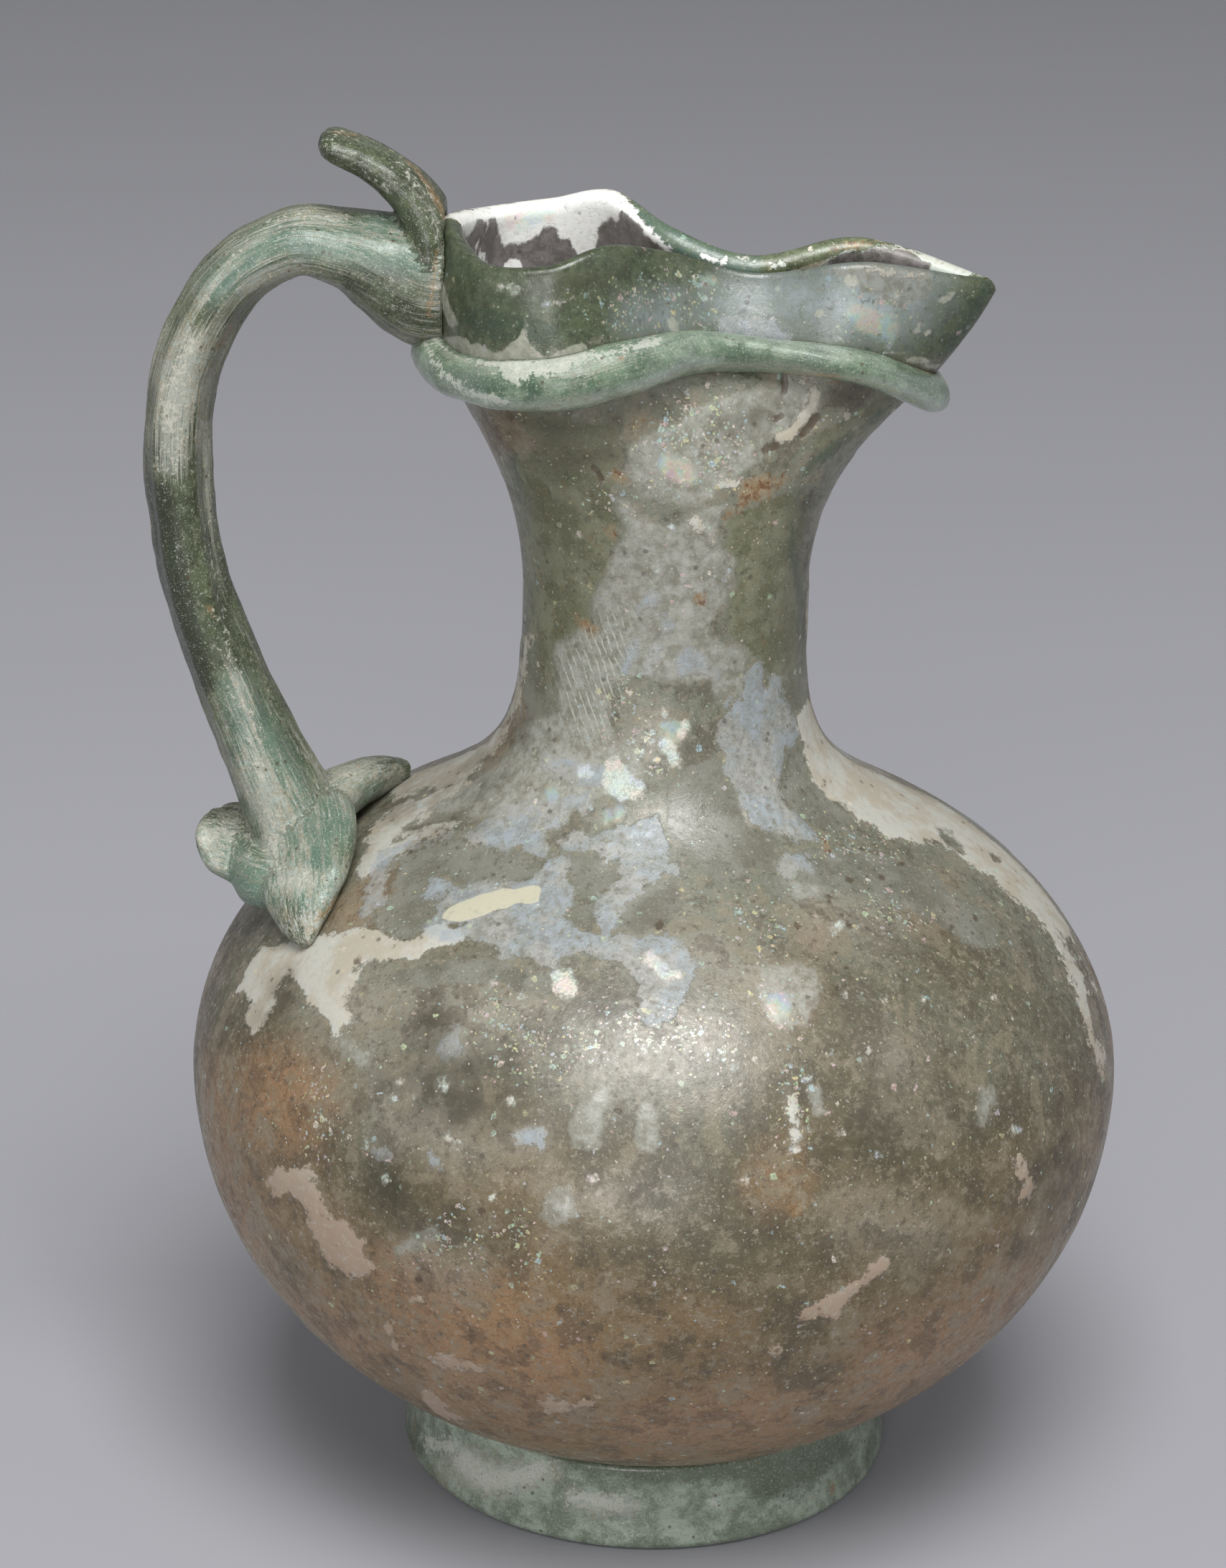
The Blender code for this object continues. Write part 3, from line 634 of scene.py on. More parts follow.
HAZE = {
    "left_centre": [(470, 1400, 50), (640, 1420, 60), (740, 1400, 40)],
    "left_band": [(560, 1560, 24), (640, 1600, 30), (735, 1590, 26)],
    "low_left_pale": [(590, 1740, 24), (640, 1770, 26)],
    # painted highlight: pale haze laid where the overhead lamp's broad highlight falls on the body
    "highlight": [(830, 1470, 50), (930, 1450, 60), (1010, 1440, 40)],
    "left_middle": [(560, 1480, 40), (600, 1560, 40)],
    "right_high": [(1250, 1470, 24)],
    "right_low": [(1290, 1710, 22), (1200, 1700, 30)],
    "shoulder": [(680, 1130, 40), (780, 1090, 40), (880, 1040, 30)],
    "claw_bulge": [(556, 1124, 18), (600, 1104, 12)],
    "upper": [(900, 1300, 34), (1000, 1330, 44), (1070, 1390, 34)],
    "right_shoulder": [(1140, 1270, 26), (1220, 1290, 30)],
    "spout": [(1010, 420, 16), (1100, 415, 22), (1190, 425, 40), (1250, 425, 34), (1290, 400, 16)],
    "lip_middle": [(890, 438, 8), (930, 440, 12)],
    "spout_top": [(1130, 395, 10), (1190, 390, 16), (1270, 395, 16)],
    "under_lip_right": [(1190, 590, 16)],
}

PEARL = {
    # painted highlight: the bright spot where the overhead lamp reflects off the foot of the neck
    "painted_highlight_spot": [
        (845, 1062), (860, 1058), (872, 1070), (885, 1080), (895, 1092), (898, 1104), (885, 1114),
        (865, 1114), (848, 1106), (840, 1092),
    ],
    "beside_spot": [(815, 1074, 8)],
    "lilac_spot": [
        (768, 1362), (780, 1352), (795, 1355), (804, 1370), (806, 1382), (797, 1392), (782, 1388),
        (770, 1378),
    ],
    "rim_glint": [(762, 427, 4)],
    "rim_streak": [(775, 418, 3), (792, 415, 3)],
    "rim_streak_left": [(697, 402, 4), (718, 403, 4)],
    "pink_dot": [(908, 1031, 3)],
    "pink_drop": [(955, 1008, 5), (950, 1022, 5)],
    "peach_drop": [(928, 1038, 8), (938, 1048, 7)],
    "blue_drop": [(940, 1060, 8)],
    "blue_top": [(926, 992, 5)],
    "glint_gold": [(1160, 1296, 4), (1172, 1287, 4)],
    "yellow_edge": [(905, 1335, 7), (925, 1355, 7), (945, 1362, 5)],
}

DOTS = {
    "row": [(1178, 1386, 3), (1200, 1387, 2), (1232, 1393, 3), (1286, 1391, 2), (1384, 1389, 3)],
    "middle": [
        (1023, 1486, 4), (1209, 1462, 2), (1173, 1577, 5), (1357, 1446, 3), (1225, 1611, 4),
        (1122, 1502, 5), (1039, 1646, 4), (1414, 1571, 5), (1107, 1600, 5),
    ],
    "left": [
        (616, 1505, 4), (618, 1514, 4), (560, 1506, 3), (548, 1530, 3), (574, 1529, 3), (712, 1534, 5),
        (686, 1372, 3), (727, 1386, 4), (544, 1409, 2), (515, 1464, 3), (491, 1453, 2),
    ],
    "low": [
        (622, 1582, 3), (633, 1592, 3), (642, 1598, 3), (824, 1643, 5), (688, 1666, 4), (801, 1691, 3),
        (538, 1643, 4), (509, 1592, 3), (663, 1676, 2),
    ],
    "neck": [(935, 734, 3), (990, 690, 2), (1067, 881, 2), (967, 632, 2), (916, 798, 2)],
}

RUST = {
    "neck_spot": [(812, 868, 6), (826, 879, 8)],
    "neck_brown": [(850, 738, 8)],
    "low_right_spot": [(1108, 1688, 8), (1122, 1674, 8)],
    "neck_crust": [
        (1013, 722), (1010, 715), (1030, 698), (1032, 680), (1045, 668), (1070, 660), (1092, 664),
        (1080, 680), (1065, 692), (1045, 697), (1035, 710), (1022, 720),
    ],
    "crust_left": [(858, 660, 7), (872, 673, 6)],
    "crust_high": [(888, 588, 7), (900, 584, 5)],
    "neck_tan": [(974, 826, 4), (973, 842, 3)],
    "band_halo": [(487, 1336, 6)],
    "seam_spot": [(868, 486, 3), (885, 482, 3)],
    "step_spot": [(1148, 1175, 4), (1157, 1182, 4)],
    "under_trail": [(1060, 517, 3), (1110, 519, 3), (1165, 525, 4)],
    "edge_orange": [(1452, 1250, 4), (1475, 1276, 4)],
}

BROWN_SPOTS = {
    "diagonal": [(1120, 604, 5), (1138, 580, 5)],
    "dash": [(1066, 626, 4), (1085, 621, 4)],
    "ring": [(1080, 583, 4), (1088, 580, 3)],
    "speck": [(980, 623, 3)],
    "trail_edge": [(1092, 525, 4), (1096, 535, 3), (1090, 550, 3)],
    "pit_low": [(667, 1688, 6)],
    "pit_left": [(584, 1781, 5)],
    "pit_centre": [(861, 1546, 4)],
    "pit_band": [(497, 1338, 6)],
    "pit_small": [(578, 1568, 3)],
    "heart": [(1114, 1683, 4)],
    "low_fleck": [(1196, 1845, 4)],
    "base_fleck": [(1109, 1962, 4)],
    "base_fleck_right": [(1248, 1895, 3)],
    "smudge": [(1048, 1691, 6)],
    "neck_mark": [(826, 650, 3), (838, 672, 3)],
}

FRECKLES = {
    "high": [(1287, 1214, 5), (1230, 1222, 4), (1185, 1221, 5), (1261, 1205, 4)],
    "step": [(1157, 1254, 6), (1148, 1274, 6), (1112, 1290, 5), (1185, 1288, 5), (917, 1283, 7)],
    "right": [(1166, 1330, 4), (1180, 1349, 4), (1166, 1373, 4), (1358, 1277, 5), (1324, 1290, 4)],
}

UMBER_AND_SHADE = {
    # painted shadow under the trail, on the neck
    "under_trail": [(712, 582, 20), (780, 600, 26), (860, 590, 22), (930, 566, 12)],
    # painted shadow, darkening the top of the neck below the trail
    "painted_shade_neck_top": [(780, 640, 24), (850, 625, 18)],
    "centre": [(600, 1420, 30), (560, 1500, 30), (700, 1480, 26)],
    "right": [(1240, 1540, 26), (1200, 1590, 20), (1330, 1560, 20)],
    "right_edge": [(1480, 1620, 20), (1460, 1660, 14)],
    "left_low": [(540, 1650, 34), (570, 1690, 26)],
    "under_pit": [(640, 1700, 28), (690, 1718, 20)],
    "left": [(600, 1530, 36), (700, 1545, 18)],
    "shade_left": [(400, 1362, 7), (392, 1385, 9), (380, 1418, 8)],
    "strata_low": [
        (545, 1137, 4), (575, 1120, 5), (600, 1108, 6), (625, 1095, 5), (650, 1082, 5), (675, 1064, 5),
        (690, 1050, 4),
    ],
    "strata_high": [(655, 1107, 3), (685, 1095, 3), (705, 1080, 3)],
    "strata_band": [(575, 1168, 5), (600, 1155, 5), (640, 1146, 6), (668, 1140, 4)],
    "neck_left": [(725, 1010, 6), (715, 1035, 6)],
    "right_low": [(1405, 1732, 9)],
    "lip_line": [(740, 398, 4), (850, 392, 4)],
    "drip_side": [(1165, 1595, 10), (1140, 1575, 8)],
    "highlight_spots": [(850, 1410, 14), (870, 1440, 8)],
    # painted shadow under the trail, further right
    "painted_shade_under_trail_right": [(1010, 590, 10), (1120, 560, 8), (1200, 560, 12)],
    "neck_right": [(1120, 700, 14), (1126, 800, 12), (1120, 900, 12)],
}

PEACH = {
    # partly painted warm reflected light, over the peach stain low on the body
    "low_left_wide": [(640, 1880, 60), (560, 1800, 50), (760, 1900, 50)],
    "left_stain": [
        (330, 1500), (345, 1470), (380, 1455), (425, 1460), (455, 1490), (470, 1510), (478, 1535),
        (462, 1550), (440, 1550), (440, 1600), (400, 1605), (360, 1600), (335, 1580), (320, 1540),
    ],
    # these four strokes, low on the body and along its left and right edges, are partly painted warm
    # reflected light over the peach stain
    "left_low": [(640, 1800, 26), (700, 1830, 40)],
    "left_side": [(310, 1500, 20), (300, 1640, 40), (330, 1740, 40)],
    "low_left": [(420, 1850, 50), (500, 1900, 40)],
    "low_right": [(1240, 1900, 44), (1340, 1850, 44), (1410, 1790, 28)],
    "low_middle": [(900, 1990, 36), (1050, 1970, 40)],
    "centre_right": [(1085, 1645, 30)],
    "centre": [(1090, 1390, 34)],
    "tan_high": [(1140, 1300, 12)],
    "right_high": [(1300, 1262, 20)],
    "shoulder_left": [(525, 1240, 16), (480, 1280, 14)],
    "neck_left": [(700, 590, 8), (722, 612, 10)],
    "neck_foot_left": [(712, 985, 8), (690, 1040, 10)],
    "edge_right": [(1460, 1240, 12), (1400, 1165, 10)],
}

OLIVE = {
    "shoulder_lens": [
        (520, 1290), (530, 1262), (548, 1240), (552, 1222), (557, 1192), (581, 1182), (603, 1174),
        (628, 1163), (644, 1166), (661, 1177), (699, 1185), (721, 1181), (743, 1192), (765, 1193),
        (752, 1210), (740, 1222), (718, 1230), (697, 1226), (660, 1228), (637, 1233), (624, 1227),
        (612, 1218), (600, 1221), (590, 1235), (583, 1247), (622, 1250), (596, 1283), (582, 1298),
        (562, 1311), (545, 1305),
    ],
    "island_high": [
        (773, 1189), (789, 1186), (828, 1191), (848, 1203), (858, 1210), (871, 1218), (851, 1238),
        (835, 1248), (809, 1242), (799, 1230), (792, 1206),
    ],
    "island_low": [(792, 1268), (818, 1258), (831, 1268), (835, 1284), (822, 1297), (802, 1292)],
    "island_right": [
        (851, 1300), (867, 1268), (884, 1251), (905, 1236), (940, 1220), (960, 1250), (930, 1290),
    ],
    "neck_left": [
        (720, 660), (760, 600), (860, 590), (870, 640), (850, 690), (865, 730), (850, 770), (842, 810),
        (820, 835), (828, 870), (800, 878), (775, 895), (766, 914), (775, 950), (772, 1010),
        (735, 1000), (728, 960), (735, 900), (730, 800), (728, 720),
    ],
    "neck_right": [
        (1010, 730), (1040, 705), (1100, 690), (1125, 720), (1120, 800), (1125, 900), (1130, 960),
        (1110, 995), (1090, 970), (1090, 942), (1062, 935), (1050, 918), (1035, 905), (1020, 880),
        (1012, 845), (1026, 812), (1033, 782), (1008, 762),
    ],
    "neck_low": [
        (1095, 1050), (1115, 1045), (1125, 1070), (1140, 1095), (1165, 1115), (1190, 1140),
        (1190, 1160), (1150, 1160), (1125, 1150), (1100, 1118), (1085, 1100), (1088, 1065),
    ],
    "shoulder_front": [
        (930, 1090), (1000, 1050), (1020, 1100), (1040, 1145), (1090, 1165), (1080, 1200), (1000, 1230),
        (960, 1200), (930, 1150),
    ],
    "right": [(1090, 1220, 30), (1180, 1210, 30), (1280, 1240, 30), (1370, 1300, 22)],
    "left_upper": [(560, 1360, 14), (680, 1352, 16), (760, 1372, 12)],
    # painted shadow under the trail: darker bare glass laid on the neck
    "painted_shade_under_lip_left": [(740, 590, 20), (840, 620, 22), (800, 650, 10)],
    "under_lip_right": [(1150, 620, 16), (1210, 580, 14), (1250, 555, 10)],
    "spout_low": [(1270, 480, 18), (1310, 470, 20), (1335, 440, 16), (1345, 410, 10)],
}

GREEN = {
    "streak": [(1118, 658, 6), (1150, 634, 7), (1185, 606, 6)],
    "streak_high": [(1212, 588, 6), (1228, 575, 6)],
    "neck_right": [(1100, 725, 3), (1108, 780, 5), (1118, 850, 5), (1122, 900, 5), (1126, 945, 4)],
    "neck_left": [(716, 640, 4), (726, 700, 3)],
    "spout_tip": [(1375, 395, 8), (1360, 430, 8), (1340, 460, 8), (1320, 490, 6)],
    "lip_left": [(620, 350, 8), (625, 375, 8)],
    "lip_low": [(700, 455, 22), (660, 440, 14), (760, 465, 16)],
    # painted shadow in the seam where the body sits in the foot ring
    "painted_shade_foot_seam": [(780, 2036, 6), (900, 2050, 8), (1040, 2040, 6)],
}

# Where glints are painted into the film's colour: its bright flecks, painted as the highlights they catch,
# thickest where the lamp's broad highlight falls
SPARKLING = {
    "gold_patch": [(655, 1750, 10), (675, 1735, 10), (725, 1715, 10), (735, 1745, 10), (745, 1775, 8)],
    "highlight": [(800, 1460, 24), (880, 1430, 24), (960, 1440, 26), (1010, 1460, 20)],
    "highlight_left": [(690, 1420, 30), (760, 1480, 24)],
    "highlight_right": [(1080, 1380, 20), (1100, 1420, 14)],
    "right_high": [(1040, 1272, 12), (1080, 1290, 12), (1060, 1320, 14)],
    "step": [(1150, 1170, 10), (1230, 1180, 12)],
    "under_lip": [(930, 600, 34), (990, 580, 34), (1010, 640, 30), (930, 660, 26)],
    "neck_foot": [(870, 960, 18), (870, 1020, 18), (900, 1060, 14)],
    "neck_left": [(835, 685, 12), (860, 700, 8)],
    "lip": [(860, 430, 26), (920, 400, 20), (980, 420, 24)],
    "spout": [(1210, 440, 30)],
    "green_line": [(437, 1500, 7), (440, 1540, 8), (446, 1560, 9), (447, 1598, 8)],
    "glint_line": [(1206, 1250, 6), (1245, 1272, 9), (1276, 1284, 7)],
    "drip_line": [(1103, 1500, 8), (1106, 1600, 8)],
    "low": [(640, 1700, 12), (600, 1740, 10)],
}

IRIDESCENT = {
    "spout": [(1200, 445, 16), (1230, 455, 20), (1190, 430, 12)],
    # painted highlight on the foot of the neck, tinted
    "painted_highlight_spot": [(862, 1095, 8)],
    "lilac_spot": [(788, 1372, 12)],
    "teal_spot": [(845, 1142, 7), (862, 1133, 8)],
    "teal_left": [(770, 1108, 9)],
    "pink_cloud": [(925, 1015, 10)],
    "drops": [(940, 1020, 16)],
    "centre": [(1085, 1405, 18)],
    "pinch": [(985, 390, 10)],
    "under_lip": [(930, 645, 16), (960, 660, 12)],
}

STRIPED = {
    "neck_left": [
        (790, 910), (835, 860), (870, 850), (880, 900), (860, 960), (850, 1010), (820, 1030),
        (785, 1000), (775, 940),
    ],
}

PAINTED = {
    "patch": [
        (617, 1275), (630, 1262), (660, 1250), (700, 1240), (750, 1236), (757, 1248), (752, 1256),
        (720, 1260), (690, 1270), (650, 1283), (622, 1284),
    ],
}

OUTSIDE_LAYERS = {
    "enamel": ENAMEL, "cream": CREAM, "flakes": LIP_FLAKES, "bare": BARE, "veil": VEIL, "haze": HAZE,
    "pearl": {**PEARL, **lone(DOTS)}, "rust": RUST, "dark": {**BROWN_SPOTS, **lone(FRECKLES)},
    "umber_and_shade": UMBER_AND_SHADE, "peach": PEACH,
    "olive": OLIVE, "green": GREEN, "sparkle": SPARKLING, "iris": IRIDESCENT, "striped": STRIPED,
    "paint": PAINTED,
}

INSIDE_LAYERS = {
    "cream": {
        "far_lobe": [
            (600, 300), (640, 292), (700, 280), (760, 262), (820, 255), (862, 266), (884, 290),
            (905, 318), (930, 346), (950, 366), (900, 420), (600, 420),
        ],
        "far_spout": [
            (1118, 386), (1145, 369), (1160, 361), (1189, 350), (1211, 344), (1242, 341), (1274, 345),
            (1305, 352), (1337, 366), (1358, 379), (1370, 392), (1295, 394), (1168, 394),
        ],
        "pinch_left": [(972, 357, 4), (1003, 364, 6)],
        "pinch_middle": [(1030, 360, 4), (1048, 364, 3)],
        "pinch_right": [(1078, 369, 3), (1096, 367, 3)],
    },
    "dark": {
        "left": [
            (644, 323), (661, 324), (661, 313), (666, 309), (675, 310), (680, 320), (683, 305),
            (688, 304), (693, 322), (697, 335), (704, 339), (719, 337), (741, 332), (753, 330),
            (764, 318), (775, 323), (788, 338), (795, 339), (803, 355), (812, 372), (800, 390),
            (733, 390), (726, 364), (702, 359), (699, 385), (684, 385), (677, 362), (671, 344),
            (664, 339), (659, 351), (659, 362), (671, 372), (669, 385), (648, 372), (644, 344),
        ],
        "right": [
            (827, 323), (838, 320), (834, 311), (834, 304), (845, 301), (853, 300), (858, 306),
            (863, 312), (864, 296), (868, 295), (874, 301), (883, 308), (890, 315), (897, 328),
            (909, 337), (928, 352), (920, 370), (834, 380), (832, 351), (830, 337),
        ],
        "spout": [
            (1120, 379), (1147, 371), (1164, 362), (1175, 356), (1187, 352), (1202, 351), (1208, 347),
            (1221, 348), (1234, 346), (1253, 347), (1272, 350), (1277, 355), (1281, 363), (1295, 368),
            (1295, 392), (1130, 392),
        ],
    },
    "rust": {
        "spout_line": [(1163, 350, 2), (1180, 344, 3), (1202, 340, 2), (1242, 334, 2)],
    },
    "green": {
        "far_rim": [
            (878, 278), (909, 288), (932, 300), (954, 318), (976, 333), (998, 344), (1020, 352),
            (1060, 356), (1060, 384), (1000, 384), (965, 370), (925, 352), (909, 330), (892, 306),
        ],
    },
    "iris": {
        # painted reflection: iridescent tint where the lamp's highlight falls on the far lobe's lining
        "far_lobe": [(720, 305, 16), (760, 290, 16)],
    },
}

TRAIL_LAYERS = {
    "flakes": {
        "seam": LIP_FLAKES["seam"],
        "seam_right": LIP_FLAKES["seam_right"],
        "edge_left": [(590, 470, 3), (602, 500, 3), (625, 527, 3), (660, 549, 3), (700, 559, 4)],
        "end": [(1326, 524, 3), (1331, 534, 2)],
    },
    "haze": {
        "upper": [(760, 528, 8), (830, 512, 9), (880, 500, 8), (940, 488, 5)],
        "left": [(620, 492, 7), (660, 508, 7), (690, 520, 6)],
        "middle": [(1180, 500, 6)],
        "under": [(760, 566, 7), (860, 556, 7), (940, 545, 6)],
    },
    "green": {
        "spot": [(724, 536), (733, 523), (737, 530), (750, 534), (757, 543), (744, 552), (730, 547)],
        "dot": [(832, 544, 4)],
        "left": [(612, 505), (640, 516), (688, 524), (706, 540), (700, 552), (662, 545), (628, 524)],
        "right": [(1250, 506), (1300, 522), (1325, 540), (1310, 552), (1280, 542), (1240, 522)],
    },
    "rust": {
        "yellow_low": [(960, 548, 4), (1000, 540, 5), (1030, 533, 4), (1100, 520, 3), (1170, 524, 3)],
        "spot": [(733, 517, 3)],
        "spot_right": [(865, 498, 4)],
    },
}

HANDLE_LAYERS = {
    "haze": {
        "upper_leg": [(268, 470, 14), (246, 540, 24), (238, 600, 26), (238, 645, 24)],
        "arch": [(280, 420, 6), (330, 345, 8), (400, 306, 9), (470, 308, 8)],
        "arch_under": [(340, 400, 4), (400, 384, 4), (470, 396, 3)],
        "inner_edge": [(288, 600, 5), (292, 690, 6), (297, 780, 6), (306, 860, 6), (322, 920, 8)],
        "low_leg": [(330, 940, 8), (348, 1020, 12), (366, 1090, 15), (380, 1180, 17), (392, 1232, 8)],
        "low_leg_left": [(340, 1060, 6), (350, 1140, 8), (345, 1200, 6)],
        "back_ear": [(285, 1165, 20), (325, 1150, 14), (300, 1200, 12)],
        "claw": [(396, 1226, 18), (430, 1225, 16)],
        "far_prong": [(470, 1080, 6), (520, 1074, 5), (556, 1086, 6), (545, 1120, 6)],
        "root": [(560, 230, 8), (590, 262, 10), (606, 300, 8), (612, 340, 6), (606, 400, 5)],
        "thumb_edge": [(452, 196, 5), (470, 188, 6), (500, 182, 7), (545, 200, 7), (575, 225, 6)],
        "thumb_under": [(500, 236, 5), (540, 262, 6)],
    },
    "green": {
        "mid_leg": [(220, 690, 24), (230, 750, 26), (248, 820, 22), (266, 890, 18), (286, 950, 12)],
    },
    "teal": {
        "low_leg": [(330, 960, 24), (370, 1060, 40), (410, 1160, 56), (440, 1230, 44)],
        "prongs": [(300, 1190, 40), (360, 1240, 30), (500, 1110, 40)],
        "arch": [(300, 400, 24), (380, 330, 22), (500, 340, 30), (560, 330, 50)],
        "root": [(560, 260, 30), (580, 360, 26)],
    },
    "rust": {
        "tip": [(438, 1282, 3), (462, 1262, 4), (480, 1240, 3)],
        "thumb": [(466, 184, 3), (520, 190, 3), (562, 214, 4), (600, 262, 5)],
        "seam": [(600, 262, 5), (622, 306, 5)],
        "seam_low": [(608, 350, 3), (604, 400, 3), (596, 440, 4)],
        "arch": [(320, 455, 4), (300, 490, 3)],
        "leg": [(290, 845, 4), (296, 860, 3)],
    },
}

FOOT_LAYERS = {
    "frost": {
        "left": [(640, 2040, 30), (700, 2062, 26), (765, 2050, 16)],
        "front": [(800, 2092, 12), (880, 2100, 14)],
    },
    "white": {
        "left": [(648, 2036, 14), (680, 2062, 14), (720, 2058, 13), (756, 2046, 9)],
        "spot": [(996, 2090, 6)],
        "glitter": [(800, 2085, 8), (870, 2096, 8)],
        "upper": [(600, 2010, 8), (630, 2016, 8)],
    },
    "deep": {
        # painted shadow in the seam under the body
        "seam": [
            (770, 2030, 10), (840, 2044, 14), (900, 2050, 18), (1040, 2044, 20), (1110, 2026, 18),
            (1150, 2000, 14),
        ],
        # painted shadow darkening the foot's right side
        "right": [(1060, 2070, 20), (1120, 2050, 24), (1170, 2015, 18)],
        "left": [(560, 1990, 12), (585, 2020, 10)],
    },
}

# For each of the vessel's layers, how softly its edges fade and how ragged they are, in pixels
LAYER_EDGES = {
    "enamel": (13, 7), "cream": (12, 6), "flakes": (6, 2), "bare": (10, 5), "veil": (14, 8),
    "haze": (45, 12), "pearl": (9, 3), "rust": (13, 6), "dark": (7, 3), "umber_and_shade": (26, 12),
    "peach": (40, 12), "olive": (16, 8), "green": (10, 4), "sparkle": (26, 10), "iris": (12, 6),
    "striped": (18, 6), "paint": (5, 2),
}

# How many pixels some layers are drawn wider than their strokes, and the size of the raggedness
LAYER_SPREAD = {"pearl": 1, "dark": 1, "flakes": 1}
RAGGED_SIZE = 1.8 * MM
RAGGED_SEEDS = (1, 2)

# The size, threshold and gain of the noise that scatters a layer where the photograph doesn't see
# the surface, the first of its seeds, and the layers that thin out below the shoulder there
SCATTER = {
    "enamel": (9 * MM, 0.36, 1.5),
    "cream": (8 * MM, 0.44, 1.5),
    "rust": (6 * MM, 0.66, 1.5),
    "peach": (16 * MM, 0.25, 1.0),
    "olive": (12 * MM, 0.24, 1.2),
    "umber_and_shade": (9 * MM, 0.34, 1.2),
    "veil": (9 * MM, 0.24, 1.3),
    "haze": (14 * MM, 0.20, 1.0),
    "dark": (3 * MM, 0.72, 2.0),
    "pearl": (3 * MM, 0.78, 2.0),
    "sparkle": (10 * MM, 0.20, 1.0),
    "iris": (6 * MM, 0.66, 1.6),
}
FIRST_SCATTER_SEED = 3
UPPER_LAYERS = ("enamel", "cream", "veil", "olive")
UPPER_FADE = (0.040, 0.052)


def weathering(points, normals, places, names):
    """Return a field for each name: as photographed where the camera saw it, scattered elsewhere."""
    pixels = photo_pixels(points)
    ragged = np.stack([noise_at(points, RAGGED_SIZE, seed, octaves=3) for seed in RAGGED_SEEDS], -1)
    seen = smooth_step(facing(points, normals), *SEEN_FROM)
    shown = seen > 0
    upper = 0.25 + 0.75 * smooth_step(points[..., 2], *UPPER_FADE)
    fields = {}
    for number, name in enumerate(names):
        soft, rag = LAYER_EDGES[name]
        drawn = np.zeros(seen.shape)
        if name in places:
            moved = pixels[shown] + ragged[shown] * rag
            drawn[shown] = drawn_field(moved, places[name].values(), soft, LAYER_SPREAD.get(name, 0))
        scattered = np.zeros(seen.shape)
        if name in SCATTER:
            size, threshold, gain = SCATTER[name]
            grain = noise_at(points, size, seed=FIRST_SCATTER_SEED + number, octaves=4)
            scattered = 0.5 + gain * (grain - threshold)
            scattered = np.clip(scattered, 0, 1) * (upper if name in UPPER_LAYERS else 1)
        fields[name] = mix(scattered, drawn, seen)
    return fields


def add_object(name, data):
    """Return a new object of the scene that holds a mesh, a light or a camera."""
    item = bpy.data.objects.new(name, data)
    bpy.context.scene.collection.objects.link(item)
    return item


def make_piece(name, points, faces, fields):
    """Make a smooth-shaded piece from points round the vessel's axis, faces and fields of values."""
    mesh = bpy.data.meshes.new(name)
    mesh.from_pydata((points.reshape(-1, 3) + (AXIS_X, 0, 0)).tolist(), [], faces)
    mesh.shade_smooth()
    for field, values in fields.items():
        vectors = values.shape == points.shape
        attribute = mesh.attributes.new(field, "FLOAT_VECTOR" if vectors else "FLOAT", "POINT")
        attribute.data.foreach_set("vector" if vectors else "value", values.astype(np.float32).ravel())
    return add_object(name, mesh)


def ring_faces(first, ring_count, segments, closed=False):
    """Return the quads between successive rings of points that are numbered from first."""
    faces = []
    for ring in range(ring_count if closed else ring_count - 1):
        low = first + ring * segments
        high = first + (ring + 1) % ring_count * segments
        for j in range(segments):
            k = (j + 1) % segments
            faces.append((low + j, low + k, high + k, high + j))
    return faces


def halving_faces(outer, inner, segments):
    """Return the faces between a ring of twice the segments and a ring of these segments."""
    faces = []
    for j in range(segments):
        k = (j + 1) % segments
        start, middle, end = outer + 2 * j, outer + 2 * j + 1, outer + (2 * j + 2) % (2 * segments)
        faces += [(start, middle, inner + j), (middle, inner + k, inner + j), (middle, end, inner + k)]
    return faces


def outer_wall():
    """Return the vessel's outer wall as rings of points from the base up, and its normals."""
    grid, _ = vessel_grid(OUTER_SEGMENTS, OUTER_STEPS, np.linspace(0, 1, MOUTH_RINGS + 1))
    return grid, grid_normals(grid)


def inner_wall():
    """Return the vessel's inner wall as rings of points from the rim down, and its normals."""
    mouth_shares = np.linspace(0, INNER_TOP, INNER_MOUTH_RINGS)
    grid, walls = vessel_grid(INNER_SEGMENTS, INNER_STEPS, mouth_shares)
    normals = grid_normals(grid)
    return (grid - normals * walls[:, None, None])[::-1], -normals[::-1]


def rim_crest(outer_rim, inner_rim):
    """Return the rings of the rounded rim, from the outer wall's top ring over to the inner one."""
    middle = (outer_rim + inner_rim) / 2
    crest = []
    for step in range(1, CREST_RINGS + 1):
        swing = math.pi * step / CREST_RINGS
        lift = (0, 0, CREST_LIFT * math.sin(swing))
        crest.append(middle + (outer_rim - middle) * math.cos(swing) + lift)
    return np.array(crest)


def outer_relief(grid, fields):
    """Return how far the outer wall stands out: the blown wall's waviness, crusts and pits."""
    waves = unevenness(grid, (0.09 * MM, 13 * MM, 11))
    laid = np.maximum(fields["enamel"], 0.7 * fields["veil"]) - fields["bare"]
    crust = 0.05 * MM * smooth_step(laid, 0.35, 0.6)
    crust += 0.08 * MM * smooth_step(np.maximum(fields["cream"], fields["flakes"]), 0.35, 0.6)
    pits = 0.12 * MM * smooth_step(fields["dark"], 0.4, 0.8)
    clear = 0.04 * MM * smooth_step(fields["olive"], 0.35, 0.6)
    grain = unevenness(grid, (0.016 * MM, 1.3 * MM, 12))
    return waves + crust - pits - clear + grain


